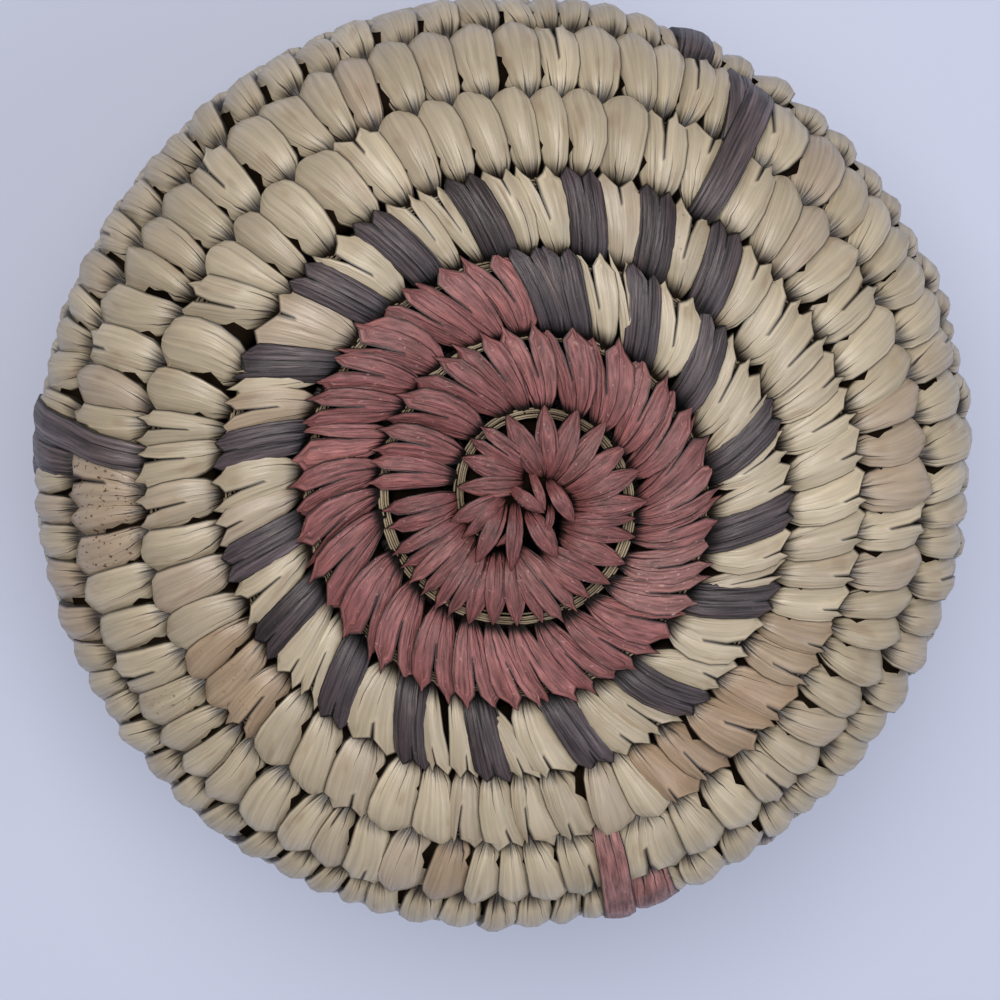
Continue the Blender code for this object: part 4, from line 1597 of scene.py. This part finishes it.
# A petal wider than this may be split this far off its middle, and its sides lie this much
# higher than its shape's
WIDE_PETAL = 3.5
PETAL_REACH = 0.3
PETAL_FLATNESS = 0.38 * MM
# Limits of a petal's tone, mean and spread of its tilt, and how much less of it is in the painted
# shade of its hole than of other strips
PETAL_TONE = (0.45, 0.75)
PETAL_TILT = (0.12, 0.08)
PETAL_BARE = 0.10


@dataclass
class Piece:
    """What a finished object rides on and stands for."""

    thing: bpy.types.Object
    body: str
    slot: Optional[str] = None
    nodes: tuple[str, ...] = ()

    def declare(self) -> None:
        """Tells the frame about the piece and reports it."""
        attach(self.thing, self.body)
        if self.nodes:
            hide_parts(*self.nodes)
        LOG.info("%s: %d faces on %s", self.thing.name, len(self.thing.data.polygons), self.body)


# Core of a coil: its radius, extra steps of its round section, how many turns before the last
# stitch it ends, and the knot that it starts from
CORE_RADIUS = 4.1 * MM
CORE_ROUNDNESS = 2
CORE_SHORT = 0.05
KNOT_SIZE = (6.5 * MM, 6.5 * MM, 3.0 * MM)
# Thin stems that show in the notches: their radius, where they start, and each one's share across
# the row and lift in millimetres
STEM_RADIUS = 0.17 * MM
STEMS_START = 0.9
STEM_LINES = ((-0.10, 2.6), (-0.07, 3.1), (-0.04, 2.8), (-0.01, 3.2), (0.02, 2.9))
# Turns between the points of a tube, and the spread of a stem's wander with the number of points
# after which it changes: all stems together and each one alone, by shares of the row, and upwards
TUBE_STEP = 1.0 / 60.0
STEM_DRIFT = (0.015, 9)
STEM_SWAY = (0.006, 6)
STEM_RISE = (0.08 * MM, 4)


def wander(draw: np.random.Generator, turns: np.ndarray, spread: float, stride: int) -> np.ndarray:
    """Smooth random way off a line.

    Args:
        draw: Random draws.
        turns: Places along the coil.
        spread: Spread of the draws.
        stride: Number of places from one draw to the next.

    Returns:
        Distance off the line at each place.
    """
    knots = turns[::stride]
    return np.interp(turns, knots, draw.normal(0.0, spread, len(knots)))


class Stems:
    """Grass bundle of a coil: a core painted near black as shade and the paler stems that show between the
    rows.
    """

    def __init__(self, spiral: Spiral, first: float, last: float, body: str, name: str) -> None:
        """Keeps the coil's range.

        Args:
            spiral: Coil to fill.
            first: Turns at its start.
            last: Turns at its end.
            body: Body that it rides on.
            name: First part of the pieces' names.
        """
        self.spiral, self.first, self.last, self.body, self.name = spiral, first, last, body, name

    def core(self, material: bpy.types.Material) -> Piece:
        """Makes the bundle under the stitches.

        Args:
            material: Finish of the bundle.

        Returns:
            The piece.
        """
        turns = np.arange(self.first, self.last - CORE_SHORT, TUBE_STEP)
        half = np.full_like(turns, 0.5)
        thick = self.spiral.taper(turns)
        places = self.spiral.point(turns, half * thick, np.zeros_like(turns))
        tube = self._tube(f"{self.name}_core", [(places, thick)], CORE_RADIUS, CORE_ROUNDNESS)
        return self._piece(tube, material)

    def knot(self, material: bpy.types.Material) -> Piece:
        """Makes the start of the bundle, a flat knot that fills the middle of the first row.

        Args:
            material: Finish of the knot.

        Returns:
            The piece.
        """
        deselect_all()
        bpy.ops.mesh.primitive_uv_sphere_add(
            segments=20, ring_count=10, radius=1.0, location=(0.0, 0.0, float(self.spiral.levels[0])),
            scale=KNOT_SIZE,
        )
        bpy.ops.object.transform_apply(location=True, rotation=True, scale=True)
        bpy.ops.object.shade_smooth()
        bpy.context.view_layer.objects.active.name = f"{self.name}_knot"
        return self._piece(bpy.context.view_layer.objects.active, material)

    def strands(self, material: bpy.types.Material, seed: int) -> Piece:
        """Makes single stems along the coil.

        Args:
            material: Finish of the stems.
            seed: Start of the random draws.

        Returns:
            The piece.
        """
        draw = np.random.default_rng(seed)
        runs = []
        turns = np.arange(self.first, self.last, TUBE_STEP)
        drift = wander(draw, turns, *STEM_DRIFT)
        for across, lift in STEM_LINES:
            sway = wander(draw, turns, *STEM_SWAY)
            rise = wander(draw, turns, *STEM_RISE)
            places = self.spiral.point(turns, across + drift + sway, lift * MM + rise)
            runs.append((places, self.spiral.taper(turns)))
        tube = self._tube(f"{self.name}_stems", runs, STEM_RADIUS, 0)
        return self._piece(tube, material)

    @staticmethod
    def _tube(
        name: str, runs: Sequence[tuple[np.ndarray, np.ndarray]], radius: float, roundness: int,
    ) -> bpy.types.Object:
        """Makes a round tube along each run of points.

        Args:
            name: Name of the object.
            runs: World points and shares of the radius for each tube.
            radius: Radius of the tubes.
            roundness: Extra steps of the round section, none for four sides.

        Returns:
            One mesh of all the tubes.
        """
        curve = bpy.data.curves.new(name, "CURVE")
        curve.dimensions = "3D"
        curve.bevel_depth = radius
        curve.bevel_resolution = roundness
        curve.use_fill_caps = True
        for places, sizes in runs:
            spline = curve.splines.new("POLY")
            spline.points.add(len(places) - 1)
            flat = np.column_stack((places, np.ones(len(places))))
            spline.points.foreach_set("co", flat.ravel())
            spline.points.foreach_set("radius", sizes)
        tube = bpy.data.objects.new(name, curve)
        bpy.context.scene.collection.objects.link(tube)
        deselect_all()
        tube.select_set(True)
        bpy.context.view_layer.objects.active = tube
        bpy.ops.object.convert(target="MESH")
        bpy.ops.object.shade_smooth()
        return bpy.context.view_layer.objects.active

    def _piece(self, tube: bpy.types.Object, material: bpy.types.Material) -> Piece:
        """Gives a part of the bundle its finish.

        Args:
            tube: The part.
            material: Its finish.

        Returns:
            The piece.
        """
        tube.data.materials.clear()
        tube.data.materials.append(material)
        return Piece(tube, self.body, "natural_leaf")


@dataclass
class Basket:
    """The whole basket: the lid's and the body's coils, their stitches and their stems."""

    lid: Spiral = field(default_factory=lid_spiral)
    pitch: float = 5.2 * MM
    pieces: list[Piece] = field(default_factory=list)
    materials: dict[str, bpy.types.Material] = field(init=False)
    sewing: Sewing = field(init=False)

    def build(self) -> None:
        self.materials = {
            "natural": NATURAL.material(), "red": RED.material(), "dark": DARK.material(),
            "straw": STRAW.material(), "core": PAINTED_SHADE_CORE.material(),
        }
        self.sewing = Sewing(seed=5)
        self.build_lid()
        self.build_body()
        self.build_neck()
        self.sewing.discard_masters()
        for piece in self.pieces:
            piece.declare()

    def _sew(
        self, name: str, stitches: Sequence[Stitch], spiral: Spiral, body: str,
        colour: str = "natural", nodes: tuple[str, ...] = (), inside: bool = False,
        floor: Optional[float] = None,
    ) -> None:
        """Lays strips over a coil and keeps them as one piece.

        Args:
            name: Name of the piece.
            stitches: Its strips.
            spiral: Coil that carries them.
            body: Body that it rides on.
            colour: Colour of the leaf.
            nodes: CAD nodes that it stands for.
            inside: True to lay the strips on the inner side of the coil.
            floor: Lowest level that a strip may reach, where the basket rests.
        """
        thing = self.sewing.lay(name, stitches, spiral, self.materials[colour], inside, floor)
        self.pieces.append(Piece(thing, body, f"{colour}_leaf", nodes))

    def build_lid(self) -> None:
        """Sews the lid."""
        spiral = self.lid
        marks = dict(EDGE_MARKS)
        for number, degrees in enumerate(DARK_ANGLES, start=1):
            turns = (180.0 - degrees) / 360.0 + RING_FROM
            lean = math.tan(math.radians(lid_lean(turns))) * ROW_PITCH / spiral.around(turns)
            node = f"lid_ring_stitch_{number:02d}"
            marks[turns + lean / 2.0] = Mark("dark", Cut.STRAIGHT, node, width=RING_WIDTH)
        first_row = sorted(PETALS[:ROW_PETALS], key=lambda petal: petal.turns)
        leaders = tuple(petal.turns for petal in first_row)
        plan = RowPlan(
            spiral, leaders[-1] + AFTER_PETALS, spiral.last_turn - SHORT_OF_END, self.pitch,
            seed=11, lean=lid_lean, leaders=leaders, fixed=marks, blemishes=LID_BLEMISHES,
            pointed_until=POINTED_UNTIL, tilt=LID_TILT,
        )
        made = plan.stitches()
        for stitch in made:
            if stitch.inner < LID_RED_TURNS:
                stitch.colour = "red"
        self._centre(plan, made)
        groups = (
            ("lid_red_stitches", "red", "lid_centre_coil", -math.inf, LID_RED_TURNS),
            ("lid_ring_natural_stitches", "natural", "lid_ring_coil", LID_RED_TURNS, LID_RING_TURNS),
            ("lid_top_stitches", "natural", "lid_top_coil", LID_RING_TURNS, LID_TOP_TURNS),
            ("lid_rim_stitches", "natural", "lid_rim_coil", LID_TOP_TURNS, LID_TURNS),
        )
        for name, colour, node, start, end in groups:
            chosen = [stitch for stitch in made if not stitch.node and start <= stitch.inner < end]
            self._sew(name, chosen, spiral, "lid", colour, (node,))
        for stitch in made:
            if stitch.node:
                name = stitch.node.replace("stitch", "strip")
                self._sew(name, [stitch], spiral, "lid", stitch.colour, (stitch.node,))
        for colour in ("natural", "red", "dark"):
            chosen = [stitch for stitch in backs(made) if stitch.colour == colour]
            self._sew(f"lid_inside_{colour}_stitches", chosen, spiral, "lid", colour, inside=True)
        bundle = Stems(spiral, 0.0, spiral.last_turn, "lid", "lid")
        # The core and the lid's knot take the near-black finish, painted shade in the gaps between strips
        self.pieces.append(bundle.core(self.materials["core"]))
        self.pieces.append(bundle.knot(self.materials["core"]))
        loose = Stems(spiral, STEMS_START, spiral.last_turn, "lid", "lid")
        self.pieces.append(loose.strands(self.materials["straw"], seed=3))

    def _centre(self, plan: RowPlan, made: list[Stitch]) -> None:
        """Lays the petals of the centre.

        Args:
            plan: Plan of the lid's stitches.
            made: The lid's stitches, for the places where they split the petals.
        """
        draw = np.random.default_rng(17)
        pairs = []
        for petal in PETALS:
            width = petal.width * PETAL_FULLNESS * MM
            around = plan.spiral.around(max(petal.turns, 0.0), 1.0)
            offset = plan.offset(petal.turns, made) * around / width
            wide = petal in PETALS[:ROW_PETALS] and petal.width > WIDE_PETAL
            split = wide and abs(offset) < PETAL_REACH
            pairs.append((petal, Stitch(
                petal.turns, petal.turns, width, Cut.POINTS if split else Cut.LANCET,
                tone=float(draw.uniform(*PETAL_TONE)), fork=offset if split else 0.0,
                tilt=float(draw.normal(*PETAL_TILT)), plump=-PETAL_FLATNESS, bare=PETAL_BARE,
            )))
        thing = self.sewing.lay_petals("lid_centre_petals", pairs, plan.spiral, self.materials["red"])
        self.pieces.append(Piece(thing, "lid", "red_leaf", ("lid_start_knot",)))

    def build_body(self) -> None:
        """Sews the body."""
        spiral = body_spiral(self.lid)
        last = spiral.last_turn - SHORT_OF_END
        plan = RowPlan(spiral, 0.0, last, self.pitch, seed=23, lean=lambda _turns: BODY_LEAN)
        made = plan.stitches()
        groups = (
            ("body_base_stitches", ("body_base_coil", "body_start_knot"), -math.inf, BODY_BASE_TURNS),
            ("body_wall_stitches", ("body_wall_coil",), BODY_BASE_TURNS, BODY_WALL_TURNS),
            ("body_rim_stitches", ("body_rim_coil",), BODY_WALL_TURNS, math.inf),
        )
        for name, nodes, start, end in groups:
            chosen = [stitch for stitch in made if start <= stitch.inner < end]
            self._sew(name, chosen, spiral, "body", nodes=nodes, floor=0.0)
        self._sew("body_inside_stitches", backs(made), spiral, "body", inside=True)
        bundle = Stems(spiral, 0.0, spiral.last_turn, "body", "body")
        self.pieces.append(bundle.core(self.materials["core"]))
        self.pieces.append(bundle.knot(self.materials["straw"]))

    def build_neck(self) -> None:
        """Sews the neck inside the body's top row."""
        neck = neck_spiral(self.lid)
        last = neck.last_turn - SHORT_OF_END
        plan = RowPlan(neck, 1.0, last, self.pitch, seed=29, lean=lambda _turns: NECK_LEAN)
        made = plan.stitches()
        self._sew("body_neck_stitches", made, neck, "body", nodes=("body_neck_coil",))
        self._sew("neck_inside_stitches", backs(made), neck, "body", inside=True)
        bundle = Stems(neck, 1.0, neck.last_turn, "body", "neck")
        self.pieces.append(bundle.core(self.materials["core"]))


@dataclass(frozen=True)
class Softbox:
    """Square soft light that faces the basket: place and size in metres, power in watts."""

    name: str
    place: tuple[float, float, float]
    size: float
    power: float
    colour: str
    aim: tuple[float, float, float] = (0.0, 0.0, 0.05)

    def build(self) -> None:
        """Adds the light."""
        data = bpy.data.lights.new(self.name, "AREA")
        data.size = self.size
        data.energy = self.power
        data.color = srgb(self.colour)[:3]
        lamp = bpy.data.objects.new(self.name, data)
        lamp.location = self.place
        facing = Vector(self.aim) - Vector(self.place)
        lamp.rotation_euler = facing.to_track_quat("-Z", "Y").to_euler()
        bpy.context.scene.collection.objects.link(lamp)


@dataclass
class Studio:
    """Pale table, soft light from above and the camera over the lid."""

    camera_place: tuple[float, float, float] = (-36.8 * MM, 59.2 * MM, 444.2 * MM)
    target: tuple[float, float, float] = (-3.56 * MM, -0.52 * MM, 95.0 * MM)
    lens: float = 86.1
    sensor: float = 36.0
    floor_size: float = 3.0
    floor_level: float = -0.2 * MM
    floor_colour: str = "c8cfe3"
    floor_roughness: float = 0.9
    floor_sheen: float = 0.1
    sky_colour: str = "eef1ff"
    sky_strength: float = 0.24
    softboxes: tuple[Softbox, ...] = (
        Softbox("key_softbox", (-0.16, 0.32, 1.1), size=0.7, power=9.9, colour="fffaf6"),
        Softbox("fill_softbox", (0.6, -0.3, 0.9), size=0.8, power=3.7, colour="f2f5ff"),
    )

    def build(self) -> None:
        """Makes the floor, the lights and the camera."""
        self._floor()
        self._world()
        for softbox in self.softboxes:
            softbox.build()
        self._camera()
        bpy.context.scene.view_settings.view_transform = "Standard"

    def _floor(self) -> None:
        """Adds the table top that the basket stands on, in matt cloth with almost no sheen."""
        deselect_all()
        place = (0.0, 0.0, self.floor_level)
        bpy.ops.mesh.primitive_plane_add(size=self.floor_size, location=place)
        floor = bpy.context.active_object
        floor.name = "studio_table"
        made = bpy.data.materials.new("pale_cloth_table")
        made.use_nodes = True
        shader = made.node_tree.nodes["Principled BSDF"]
        shader.inputs["Base Color"].default_value = srgb(self.floor_colour)
        shader.inputs["Roughness"].default_value = self.floor_roughness
        shader.inputs["Specular IOR Level"].default_value = self.floor_sheen
        floor.data.materials.append(made)

    def _world(self) -> None:
        """Adds even sky light."""
        world = bpy.data.worlds.new("studio_sky")
        world.use_nodes = True
        back = world.node_tree.nodes["Background"]
        back.inputs["Color"].default_value = srgb(self.sky_colour)
        back.inputs["Strength"].default_value = self.sky_strength
        bpy.context.scene.world = world

    def _camera(self) -> None:
        """Adds the camera with the image's up along +Y."""
        data = bpy.data.cameras.new("camera")
        data.lens = self.lens
        data.sensor_width = self.sensor
        camera = bpy.data.objects.new("camera", data)
        forward = (Vector(self.target) - Vector(self.camera_place)).normalized()
        right = forward.cross(Vector((0.0, 1.0, 0.0))).normalized()
        up = right.cross(forward)
        camera.matrix_world = Matrix.Translation(self.camera_place) @ Matrix((
            (right.x, up.x, -forward.x), (right.y, up.y, -forward.y), (right.z, up.z, -forward.z),
        )).to_4x4()
        bpy.context.scene.collection.objects.link(camera)
        bpy.context.scene.camera = camera


def main() -> None:
    """Builds the scene in order."""
    logging.basicConfig(level=logging.INFO, format="%(name)s %(message)s")
    Basket().build()
    Studio().build()


if __name__ == "__main__":
    main()
